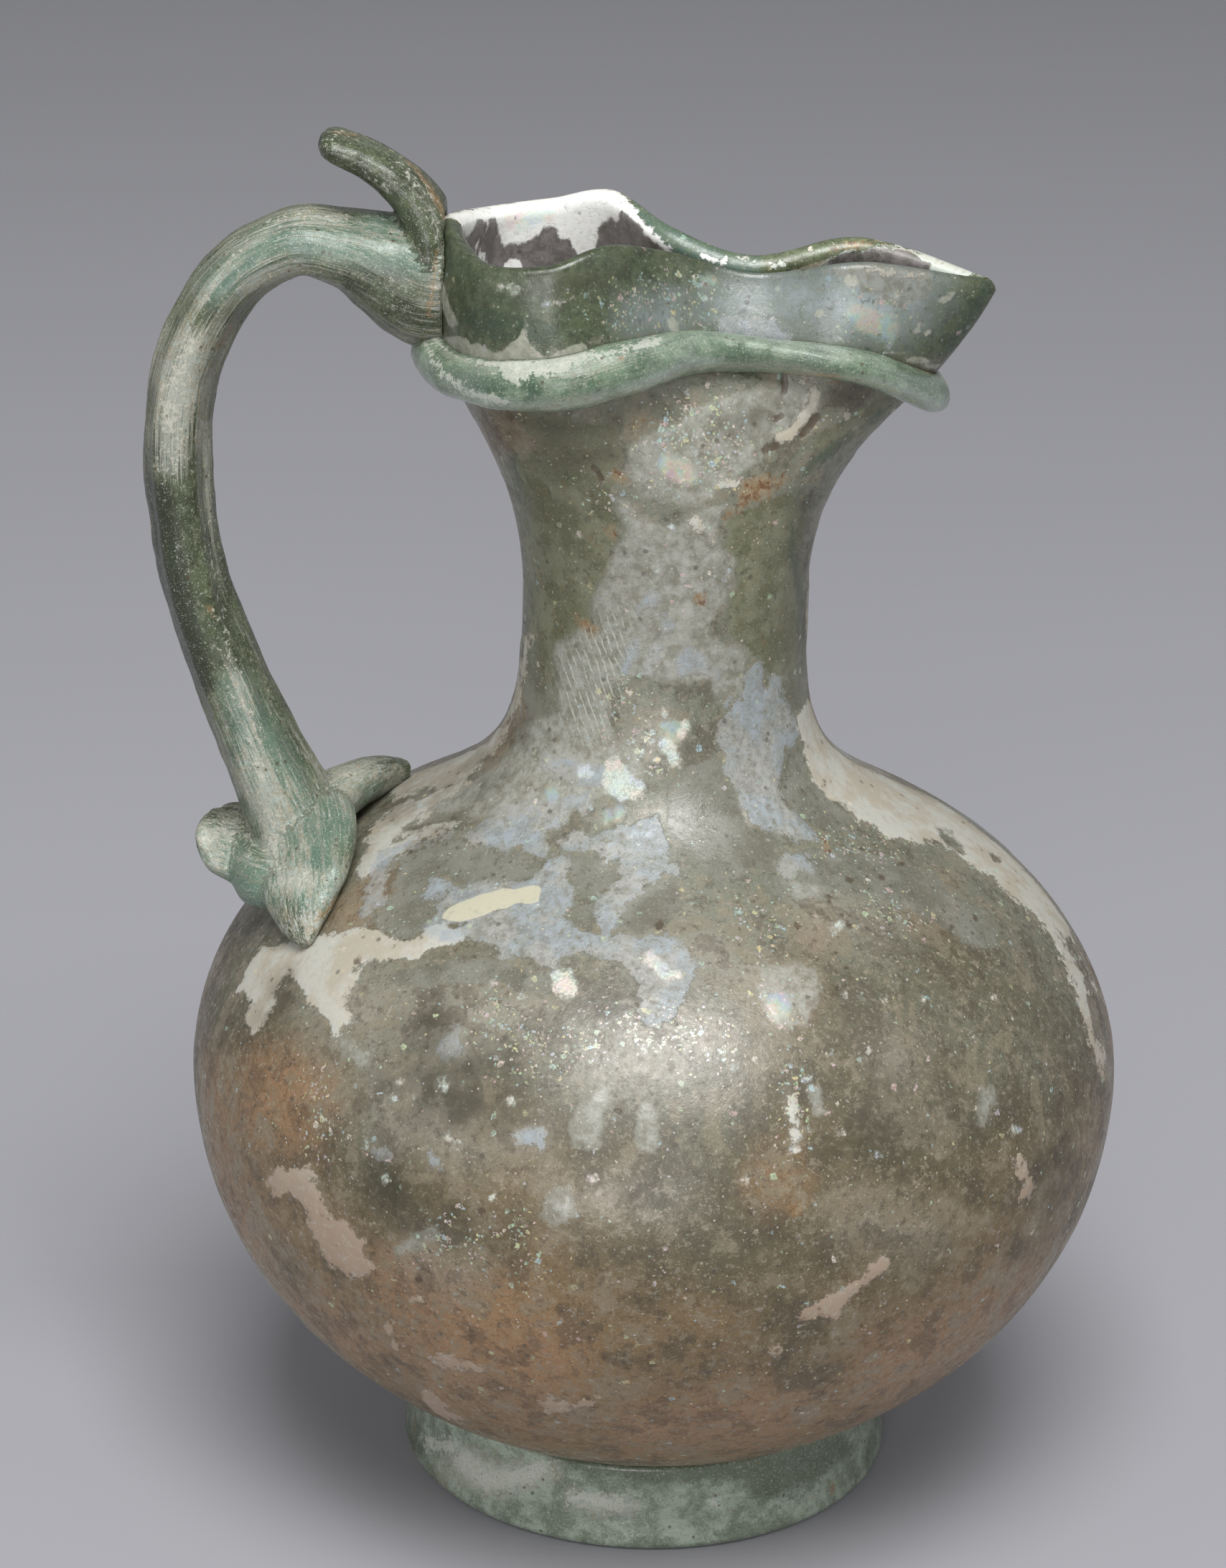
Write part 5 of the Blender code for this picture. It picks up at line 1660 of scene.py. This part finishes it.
class Shader:
    """A material whose nodes are added by short calls that return sockets."""

    def __init__(self, name, plain):
        self.material = bpy.data.materials.new(name)
        self.material.use_nodes = True
        self.tree = self.material.node_tree
        self.surface = self.tree.nodes["Principled BSDF"]
        for socket, value in plain.items():
            self.surface.inputs[socket].default_value = value

    def put(self, socket, value):
        """Link a value that is a socket, or set a plain one."""
        if isinstance(value, bpy.types.NodeSocket):
            self.tree.links.new(value, socket)
        else:
            socket.default_value = value

    def node(self, kind, inputs, output=0, **settings):
        """Add a node with its settings and inputs, and return one of its outputs."""
        node = self.tree.nodes.new("ShaderNode" + kind)
        for name, value in settings.items():
            setattr(node, name, value)
        for name, value in inputs.items():
            self.put(node.inputs[name], value)
        return node.outputs[output]

    def finish(self, **values):
        """Link the surface's sockets, whose names are given with underscores for spaces."""
        for name, value in values.items():
            self.put(self.surface.inputs[name.replace("_", " ")], value)
        return self.material

    def millimetres(self):
        """Return the place on the object in millimetres."""
        place = self.node("TexCoord", {}, "Object")
        return self.node("VectorMath", {0: place, "Scale": 1000.0}, operation="SCALE")

    def field(self, name, output="Fac"):
        """Return a field of values that the mesh carries."""
        return self.node("Attribute", {}, output, attribute_name=name)

    def noise(self, place, scale, detail, roughness=0.55, distortion=0.0):
        """Return soft noise with its features about 1 / scale millimetres wide."""
        return self.node("TexNoise", {"Vector": place, "Scale": scale, "Detail": detail,
                                      "Roughness": roughness, "Distortion": distortion})

    def cells(self, place, scale, output="Color"):
        """Return the random colour or distance of small cells."""
        return self.node("TexVoronoi", {"Vector": place, "Scale": scale}, output)

    def math(self, operation, *values):
        """Return the result of a sum, product or other operation."""
        return self.node("Math", dict(enumerate(values)), operation=operation)

    def step(self, value, low, high, start=0.0, end=1.0):
        """Return a smooth change from start to end as the value goes from low to high."""
        return self.node("MapRange", {"Value": value, "From Min": low, "From Max": high,
                                      "To Min": start, "To Max": end}, interpolation_type="SMOOTHSTEP")

    def blend(self, low, high, factor):
        """Return one colour mixed into another; the node's sockets 6, 7 and 2 are its colours."""
        return self.node("Mix", {0: factor, 6: low, 7: high}, 2, data_type="RGBA")

    def lay(self, tone, colour, mask, opacity=1.0):
        """Return a tone with a colour laid over it where a mask is, at an opacity."""
        return self.blend(tone, colour, self.math("MULTIPLY", mask, opacity))

    def fade(self, tone, colour, value, low, high, opacity=1.0):
        """Return a tone that fades into a colour, up to an opacity, as a value goes from low to high."""
        return self.blend(tone, colour, self.step(value, low, high, 0.0, opacity))

    def specks(self, tone, colour, cells, edges, mask, opacity):
        """Return a tone with a speck of a colour in the middle of each cell where a mask is."""
        dots = self.math("MULTIPLY", self.step(cells, *edges), mask)
        return self.lay(tone, colour, dots, opacity)

    def ramp(self, value, stops):
        """Return the colour at a value between (place, colour) stops."""
        ramp = self.node("ValToRGB", {"Fac": value})
        elements = ramp.node.color_ramp.elements
        ready = len(elements)
        for number, (place, tone) in enumerate(stops):
            element = elements[number] if number < ready else elements.new(place)
            element.position = place
            element.color = tone
        return ramp

    def part(self, vector, output):
        """Return one component of a vector or colour."""
        return self.node("SeparateXYZ", {"Vector": vector}, output)

    def patch(self, name, grain, amount, edge):
        """Return a field sharpened to a patch whose outline is broken up by a grain."""
        push = self.math("MULTIPLY_ADD", grain, amount, -0.5 * amount)
        return self.step(self.math("ADD", self.field(name), push), 0.5 - edge, 0.5 + edge)

    def bump(self, height, distance, strength):
        """Return normals tilted by a height, which is a share of the distance in metres."""
        return self.node("Bump", {"Height": height, "Distance": distance, "Strength": strength})


class VesselShader(Shader):
    """The vessel's glass, with the places and grains that its layers share."""

    def __init__(self, name, clearness):
        super().__init__(name, {"Transmission Weight": clearness, "IOR": 1.5, "Specular IOR Level": 0.6})
        self.place = self.millimetres()
        self.height = self.part(self.place, "Z")
        self.inside = self.field("inside")
        self.middle = self.noise(self.place, 0.30, 6, 0.66)
        self.torn = self.noise(self.place, 1.05, 6, 0.76, 0.15)
        self.fine = self.noise(self.place, 1.7, 4, 0.70)
        self.grit = self.noise(self.place, 5.5, 2, 0.78)

    def cloud(self, field, amount):
        """Return a soft field whose density varies with the middle grain."""
        density = self.step(self.middle, 0.35, 0.62, amount * 0.35, amount)
        return self.math("MULTIPLY", self.field(field), density)

    def film(self):
        """Return the film's tone by height, painted lighter low down, with soft clouds and four sizes of
        mottling.
        """
        broad = self.noise(self.place, 0.075, 3)
        level = self.math("MULTIPLY_ADD", broad, 46.0, self.math("SUBTRACT", self.height, 23.0))
        # The film turns from grey-olive at the top to brown below; its lowest stops are also painted
        # lighter, painted light where the overhead lamp falls off towards the base
        film = self.ramp(self.step(level, 2.0, 62.0), [
            (0.0, colour(150, 118, 80)), (0.28, colour(136, 112, 78)), (0.50, colour(112, 98, 70)),
            (0.72, colour(93, 87, 66)), (1.0, colour(121, 123, 107))])
        lining = self.fade(colour(150, 138, 114), colour(190, 182, 162), self.middle, 0.4, 0.6)
        film = self.blend(film, lining, self.inside)
        film = self.blend(film, colour(176, 134, 96), self.cloud("peach", 0.75))
        # Pale haze of the film, which over the body's middle is also a painted highlight
        film = self.blend(film, colour(176, 170, 156), self.cloud("haze", 0.60))
        for grain, edge, full, spot, opacity in (
                (self.middle, 0.52, 0.58, colour(78, 68, 50), 0.50),
                (self.middle, 0.47, 0.41, colour(142, 132, 112), 0.50),
                (self.torn, 0.55, 0.60, colour(70, 60, 44), 0.45),
                (self.torn, 0.44, 0.39, colour(148, 138, 118), 0.50),
                (self.fine, 0.57, 0.63, colour(62, 54, 40), 0.35),
                (self.fine, 0.42, 0.36, colour(166, 158, 140), 0.40),
                (self.grit, 0.60, 0.70, colour(46, 40, 32), 0.40),
                (self.grit, 0.38, 0.28, colour(210, 204, 190), 0.40)):
            film = self.fade(film, spot, grain, edge, full, opacity)
        return film

    def glass(self, lip):
        """Return the tone of bare glass: olive on the neck, greyer on the shoulder, green at the lip."""
        glass = self.fade(colour(94, 96, 68), colour(130, 131, 106), self.middle, 0.40, 0.60)
        glass = self.fade(glass, colour(124, 108, 72), self.torn, 0.54, 0.62, 0.45)
        shoulder = self.fade(colour(108, 107, 94), colour(136, 135, 124), self.middle, 0.38, 0.62)
        glass = self.fade(glass, shoulder, self.height, 72.0, 64.0)
        lip_glass = self.fade(colour(54, 68, 42), colour(92, 106, 74), self.torn, 0.40, 0.60)
        lip_glass = self.fade(lip_glass, colour(134, 140, 112), self.middle, 0.50, 0.62, 0.3)
        haze = self.math("MULTIPLY", self.field("haze"), self.step(self.torn, 0.40, 0.58, 0.95, 0.65))
        lip_glass = self.lay(lip_glass, colour(192, 206, 212), haze)
        return self.blend(glass, lip_glass, lip)

    def clear_places(self, tone):
        """Lay bare glass where the film has gone, and return the tone and those places."""
        olive = self.patch("olive", self.torn, 1.1, 0.10)
        lip = self.patch("lip", self.fine, 0.8, 0.12)
        clear = self.math("MAXIMUM", olive, lip)
        tone = self.lay(tone, self.glass(lip), clear, 0.85)
        green = self.patch("green", self.torn, 1.2, 0.22)
        green_tone = self.blend(colour(58, 80, 60), colour(98, 122, 112), self.inside)
        tone = self.lay(tone, green_tone, green, self.step(self.torn, 0.35, 0.65, 0.8, 0.45))
        for grain, edge, full, spot, opacity in (
                (self.fine, 0.57, 0.64, colour(60, 64, 48), 0.45),
                (self.grit, 0.42, 0.30, colour(176, 180, 166), 0.45)):
            tone = self.lay(tone, spot, clear, self.step(grain, edge, full, 0.0, opacity))
        return tone, clear

    def stains(self, tone):
        """Lay the thin pale veil and the rust."""
        veil = self.patch("veil", self.torn, 1.8, 0.14)
        veil_tone = self.fade(colour(172, 173, 164), colour(140, 138, 124), self.torn, 0.40, 0.60)
        veil = self.math("MULTIPLY", veil, self.step(self.fine, 0.38, 0.6, 0.88, 0.60))
        tone = self.blend(tone, veil_tone, veil)
        rust = self.patch("rust", self.torn, 2.2, 0.25)
        rust_tone = self.fade(colour(168, 140, 100), colour(112, 74, 40), self.fine, 0.42, 0.60)
        return self.lay(tone, rust_tone, rust, self.step(self.fine, 0.36, 0.56, 0.30, 0.85))

    def crusts(self, tone):
        """Lay the cream crust, the enamel and the flakes, and return the tone, cream and enamel."""
        kept = self.math("SUBTRACT", 1.0, self.patch("bare", self.torn, 1.0, 0.10))
        cream = self.math("MULTIPLY", self.patch("cream", self.torn, 1.7, 0.08), kept)
        cream = self.math("MULTIPLY", cream, self.step(self.fine, 0.25, 0.5, 0.65, 0.95))
        patchy = self.step(self.middle, 0.42, 0.58)
        cream_tone = self.blend(colour(198, 197, 186), colour(186, 178, 160), patchy)
        # The cream turns pinker low down, partly painted warm reflected light
        cream_tone = self.fade(cream_tone, colour(172, 148, 126), self.height, 44.0, 32.0, 0.85)
        cream_tone = self.fade(cream_tone, colour(208, 206, 196), self.fine, 0.46, 0.36, 0.4)
        along = self.part(self.place, "X")
        lining_tone = self.fade(colour(253, 253, 251), colour(196, 204, 194), along, 3.0, 9.0)
        cream_tone = self.blend(cream_tone, lining_tone, self.inside)
        tone = self.blend(tone, cream_tone, cream)
        enamel = self.math("MULTIPLY", self.patch("enamel", self.torn, 1.7, 0.10), kept)
        enamel_tone = self.blend(colour(160, 170, 176), colour(172, 172, 166), patchy)
        enamel_tone = self.fade(enamel_tone, colour(134, 132, 118), self.fine, 0.53, 0.64, 0.7)
        enamel = self.math("MULTIPLY", enamel, self.step(self.torn, 0.38, 0.60, 0.95, 0.50))
        tone = self.blend(tone, enamel_tone, enamel)
        flakes = self.patch("flakes", self.fine, 0.8, 0.12)
        tone = self.lay(tone, colour(196, 197, 180), flakes, self.step(self.torn, 0.38, 0.62, 0.95, 0.50))
        return tone, cream, enamel

    def striations(self, tone):
        """Lay the fine slanting lines of the neck."""
        slant = (0.93, 0.0, 0.36)
        spacing = 0.52
        across = self.node("VectorMath", {0: self.place, 1: slant}, "Value", operation="DOT_PRODUCT")
        across = self.math("MULTIPLY_ADD", self.middle, 0.9, across)
        lines = self.math("SINE", self.math("MULTIPLY", across, 2 * math.pi / spacing))
        lines = self.math("MULTIPLY", self.step(lines, 0.62, 0.95), self.step(self.fine, 0.42, 0.55))
        striped = self.math("MULTIPLY", self.field("striped"), 0.7)
        return self.lay(tone, colour(206, 208, 194), lines, striped)

    def sheen(self, tone):
        """Lay the iridescent bloom and the pearly spots."""
        rainbow = self.ramp(self.noise(self.place, 0.50, 3, 0.6), [
            (0.30, colour(226, 186, 206)), (0.42, colour(236, 216, 190)), (0.52, colour(190, 226, 204)),
            (0.62, colour(180, 206, 234)), (0.75, colour(216, 186, 230))])
        tone = self.lay(tone, rainbow, self.patch("iris", self.torn, 1.2, 0.25), 0.42)
        pearl_tone = self.blend(rainbow, colour(236, 234, 228), 0.55)
        pearl = self.patch("pearl", self.fine, 1.4, 0.22)
        return self.lay(tone, pearl_tone, pearl, self.step(self.grit, 0.40, 0.60, 0.85, 0.45))

    def sparkle(self, tone):
        """Lay painted glints, tinted and of two sizes of cells, and return the tone and the glints."""
        cluster = self.math("MULTIPLY_ADD", self.step(self.torn, 0.44, 0.58), 0.26, 0.04)
        glint_area = self.math("MULTIPLY", self.field("sparkle"), cluster)
        glint = 0.0
        for size, share in ((5.5, 1.0), (2.6, 0.45)):
            cells = self.cells(self.place, size)
            picked = self.math("MULTIPLY_ADD", glint_area, share, self.part(cells, "X"))
            picked = self.step(picked, 0.99, 1.0)
            glint_tone = self.ramp(self.part(cells, "Y"), [
                (0.0, colour(226, 208, 156)), (0.3, colour(184, 212, 176)), (0.55, colour(176, 204, 212)),
                (0.8, colour(216, 180, 180)), (1.0, colour(232, 226, 210))])
            tone = self.lay(tone, glint_tone, picked, self.step(self.grit, 0.38, 0.60, 0.85, 0.25))
            glint = self.math("MAXIMUM", glint, picked)
        return tone, glint

    def spots(self, tone):
        """Lay dark spots and specks and the bare label patch, and return the tone, spots and patch."""
        dark = self.patch("dark", self.fine, 0.7, 0.12)
        blotch = self.fade(colour(74, 68, 64), colour(114, 106, 106), self.torn, 0.40, 0.60)
        shade = self.blend(colour(78, 62, 44), blotch, self.inside)
        tone = self.lay(tone, shade, dark, self.step(self.inside, 0.0, 1.0, 0.75, 0.92))
        for size, edges, mask, spot, opacity in (
                (0.85, (0.24, 0.10), self.step(self.middle, 0.50, 0.58), colour(74, 70, 58), 0.65),
                (1.9, (0.20, 0.10), self.step(self.torn, 0.50, 0.60), colour(208, 204, 188), 0.7)):
            cells = self.cells(self.place, size, "Distance")
            tone = self.specks(tone, spot, cells, edges, mask, opacity)
        paint = self.patch("paint", self.fine, 0.35, 0.08)
        tone = self.lay(tone, colour(202, 198, 174), paint, self.step(self.fine, 0.5, 0.68, 0.97, 0.75))
        return tone, dark, paint


def make_vessel_material(name, clearness):
    """Make the vessel's glass with its film, ragged enamel, crusts, stains and sparkle."""
    shader = VesselShader(name, clearness)
    tone, clear = shader.clear_places(shader.film())
    tone = shader.stains(tone)
    tone, cream, enamel = shader.crusts(tone)
    # Dark brown clouds of the film, which under the trail are painted shadow
    tone = shader.blend(tone, colour(58, 54, 34), shader.cloud("umber_and_shade", 0.80))
    tone = shader.striations(tone)
    tone = shader.sheen(tone)
    tone, glint = shader.sparkle(tone)
    tone, dark, paint = shader.spots(tone)

    outer_cream = shader.math("MULTIPLY", cream, shader.step(shader.inside, 1, 0))
    fine_part = shader.step(shader.fine, 0.35, 0.65)
    rough = shader.step(shader.middle, 0.3, 0.7, 0.27, 0.38)
    for mask, amount in ((clear, -0.05), (outer_cream, 0.22), (glint, -0.15), (fine_part, 0.12)):
        rough = shader.math("MULTIPLY_ADD", mask, amount, rough)

    relief = shader.math("MAXIMUM", cream, shader.math("MAXIMUM", enamel, paint))
    for grain, depth in ((shader.fine, 0.8), (shader.grit, 0.35), (shader.middle, 1.2), (dark, -0.8)):
        relief = shader.math("MULTIPLY_ADD", grain, depth, relief)
    normal = shader.bump(relief, 0.04 * MM, 0.9)
    return shader.finish(Base_Color=tone, Roughness=rough, Normal=normal)


def make_drawn_material(name, clearness, pale, deep, stretch, frosting):
    """Make drawn green glass with frosted streaks, which a stretch lays along the glass."""
    shader = Shader(name, {"Transmission Weight": clearness, "IOR": 1.5, "Specular IOR Level": 0.5})
    place = shader.millimetres()
    along_glass = shader.field("grain", "Vector")
    drawn = shader.node("VectorMath", {0: along_glass, 1: stretch}, operation="MULTIPLY")
    streaks = shader.noise(drawn, 1.5, 5, 0.72)
    threads = shader.noise(drawn, 5.0, 3, 0.7)
    middle = shader.noise(place, 0.42, 5, 0.68, 0.2)
    fine = shader.noise(place, 2.2, 4, 0.68)
    grit = shader.noise(place, 7.0, 2, 0.7)

    glass = shader.blend(deep, pale, shader.step(middle, 0.40, 0.60, 0.30, 1.0))
    glass = shader.lay(glass, colour(110, 138, 122), shader.field("teal"), 0.64)
    glass = shader.fade(glass, deep, streaks, 0.50, 0.66, 0.55)
    glass = shader.fade(glass, colour(158, 160, 138), fine, 0.54, 0.66, 0.40)
    deeper = shader.patch("deep", streaks, 1.4, 0.35)
    glass = shader.lay(glass, deep, deeper, 0.85)
    density = shader.field("frost")
    laid = shader.math("ADD", density, shader.math("MULTIPLY_ADD", streaks, 2.4, -1.2))
    frost = shader.step(laid, 0.30, 0.85)
    hair = shader.math("MULTIPLY_ADD", threads, 1.2, shader.math("MULTIPLY", density, 0.5))
    hair = shader.step(hair, 0.82, 1.02)
    hair = shader.math("MULTIPLY", hair, 0.80)
    frost = shader.math("MAXIMUM", shader.math("MULTIPLY", frost, 0.75), hair)
    frost = shader.math("MULTIPLY", frost, frosting)
    frost_tone = shader.fade(colour(186, 192, 182), colour(168, 158, 136), fine, 0.38, 0.62)
    tone = shader.blend(glass, frost_tone, frost)
    crust = shader.step(shader.math("MULTIPLY_ADD", fine, 0.8, shader.field("crust")), 0.85, 1.05)
    tone = shader.lay(tone, colour(146, 118, 80), crust, 0.75)
    white = shader.patch("white", fine, 2.6, 0.12)
    tone = shader.lay(tone, colour(208, 210, 198), white, shader.step(fine, 0.35, 0.6, 0.95, 0.6))
    tone = shader.fade(tone, colour(214, 216, 206), grit, 0.58, 0.70, 0.60)
    tone = shader.fade(tone, colour(60, 66, 46), grit, 0.42, 0.30, 0.55)
    cells, where = shader.cells(place, 1.1, "Distance"), shader.step(middle, 0.50, 0.56)
    tone = shader.specks(tone, colour(72, 56, 36), cells, (0.22, 0.12), where, 0.7)

    rough = shader.step(shader.math("MAXIMUM", frost, white), 0.0, 0.8, 0.24, 0.50)
    rough = shader.math("ADD", rough, shader.step(fine, 0.40, 0.60, 0.0, 0.12))
    relief = shader.math("MULTIPLY_ADD", streaks, 0.9, shader.math("MULTIPLY", frost, 0.4))
    relief = shader.math("MULTIPLY_ADD", threads, 0.5, relief)
    relief = shader.math("MULTIPLY_ADD", grit, 0.2, relief)
    normal = shader.bump(relief, 0.07 * MM, 0.7)
    return shader.finish(Base_Color=tone, Roughness=rough, Normal=normal)


def make_plain_material(name, tone, roughness):
    """Make the stage's plain material with a very faint grain."""
    shader = Shader(name, {"Roughness": roughness})
    place = shader.millimetres()
    grain = shader.noise(place, 0.05, 3)
    low = tuple(0.985 * value for value in tone[:3]) + (1.0,)
    return shader.finish(Base_Color=shader.blend(low, tone, grain))


def make_floor():
    """Make the plain pale floor."""
    half = 9.0
    corners = [(-half, -half, 0), (half, -half, 0), (half, half, 0), (-half, half, 0)]
    mesh = bpy.data.meshes.new("floor")
    mesh.from_pydata(corners, [], [(0, 1, 2, 3)])
    floor = add_object("floor", mesh)
    mesh.materials.append(make_plain_material("pale_floor", colour(150, 150, 155), 0.8))


def make_light(name, place, target, size, power):
    """Add a soft square light that shines from a place to a target."""
    light = bpy.data.lights.new(name, "AREA")
    light.shape = "SQUARE"
    light.size = size
    light.energy = power
    lamp = add_object(name, light)
    lamp.location = place
    lamp.rotation_euler = (Vector(target) - Vector(place)).to_track_quat("-Z", "Y").to_euler()


def make_studio():
    """Make the grey surroundings and the soft lights."""
    scene = bpy.context.scene
    world = bpy.data.worlds.new("studio")
    scene.world = world
    world.use_nodes = True
    background = world.node_tree.nodes["Background"]
    background.inputs["Color"].default_value = (0.96, 0.97, 1.0, 1.0)
    background.inputs["Strength"].default_value = 0.30
    middle = (0, 0, 0.05)
    low = (0, 0, 0.02)
    make_light("overhead", (0.04, -0.42, 0.88), middle, size=0.50, power=11.0)
    make_light("fill_left", (-0.9, -0.5, 0.5), middle, size=0.7, power=1.6)
    make_light("fill_right", (0.9, -0.4, 0.5), middle, size=0.7, power=1.2)
    make_light("fill_front", (-0.1, -0.8, 0.16), low, size=0.3, power=2.4)
    scene.view_settings.view_transform = "Standard"


def make_camera():
    """Make the camera where the photograph was taken from."""
    right, up, forward = camera_axes()
    data = bpy.data.cameras.new("camera")
    data.sensor_fit = "VERTICAL"
    data.sensor_height = SENSOR_HEIGHT
    data.lens = LENS
    data.clip_start = 0.01
    data.clip_end = 20
    camera = add_object("camera", data)
    turn = Matrix((right, up, -np.array(forward))).transposed()
    camera.matrix_world = Matrix.Translation(CAMERA_PLACE) @ turn.to_4x4()
    bpy.context.scene.camera = camera


def dress(piece, node, *materials):
    """Let a piece ride on the body and stand for its node of the model, with its materials."""
    for material in materials:
        piece.data.materials.append(material)
    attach(piece, "root")
    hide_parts(node)


def main():
    """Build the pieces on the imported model, the stage and the camera."""
    make_camera()
    make_studio()
    make_floor()
    grid, normals = outer_wall()
    drawn_out = (1.0, 1.0, 0.035)
    spun = (0.35, 0.35, 0.6)
    foot_tones = colour(168, 181, 164), colour(98, 107, 88)
    trail_tones = colour(122, 143, 118), colour(66, 90, 68)
    handle_tones = colour(94, 103, 76), colour(46, 52, 34)
    dress(make_vessel(grid, normals), "vessel", make_vessel_material("weathered_glass", 0.30),
          make_vessel_material("clear_lip_glass", 0.50), make_vessel_material("crusted_lining", 0.03))
    dress(make_foot(), "foot_ring",
          make_drawn_material("foot_glass", 0.30, *foot_tones, spun, 0.7))
    dress(make_trail(), "mouth_trail",
          make_drawn_material("trail_glass", 0.35, *trail_tones, drawn_out, 0.5))
    dress(make_handle(grid), "handle",
          make_drawn_material("handle_glass", 0.30, *handle_tones, drawn_out, 1.0))


main()
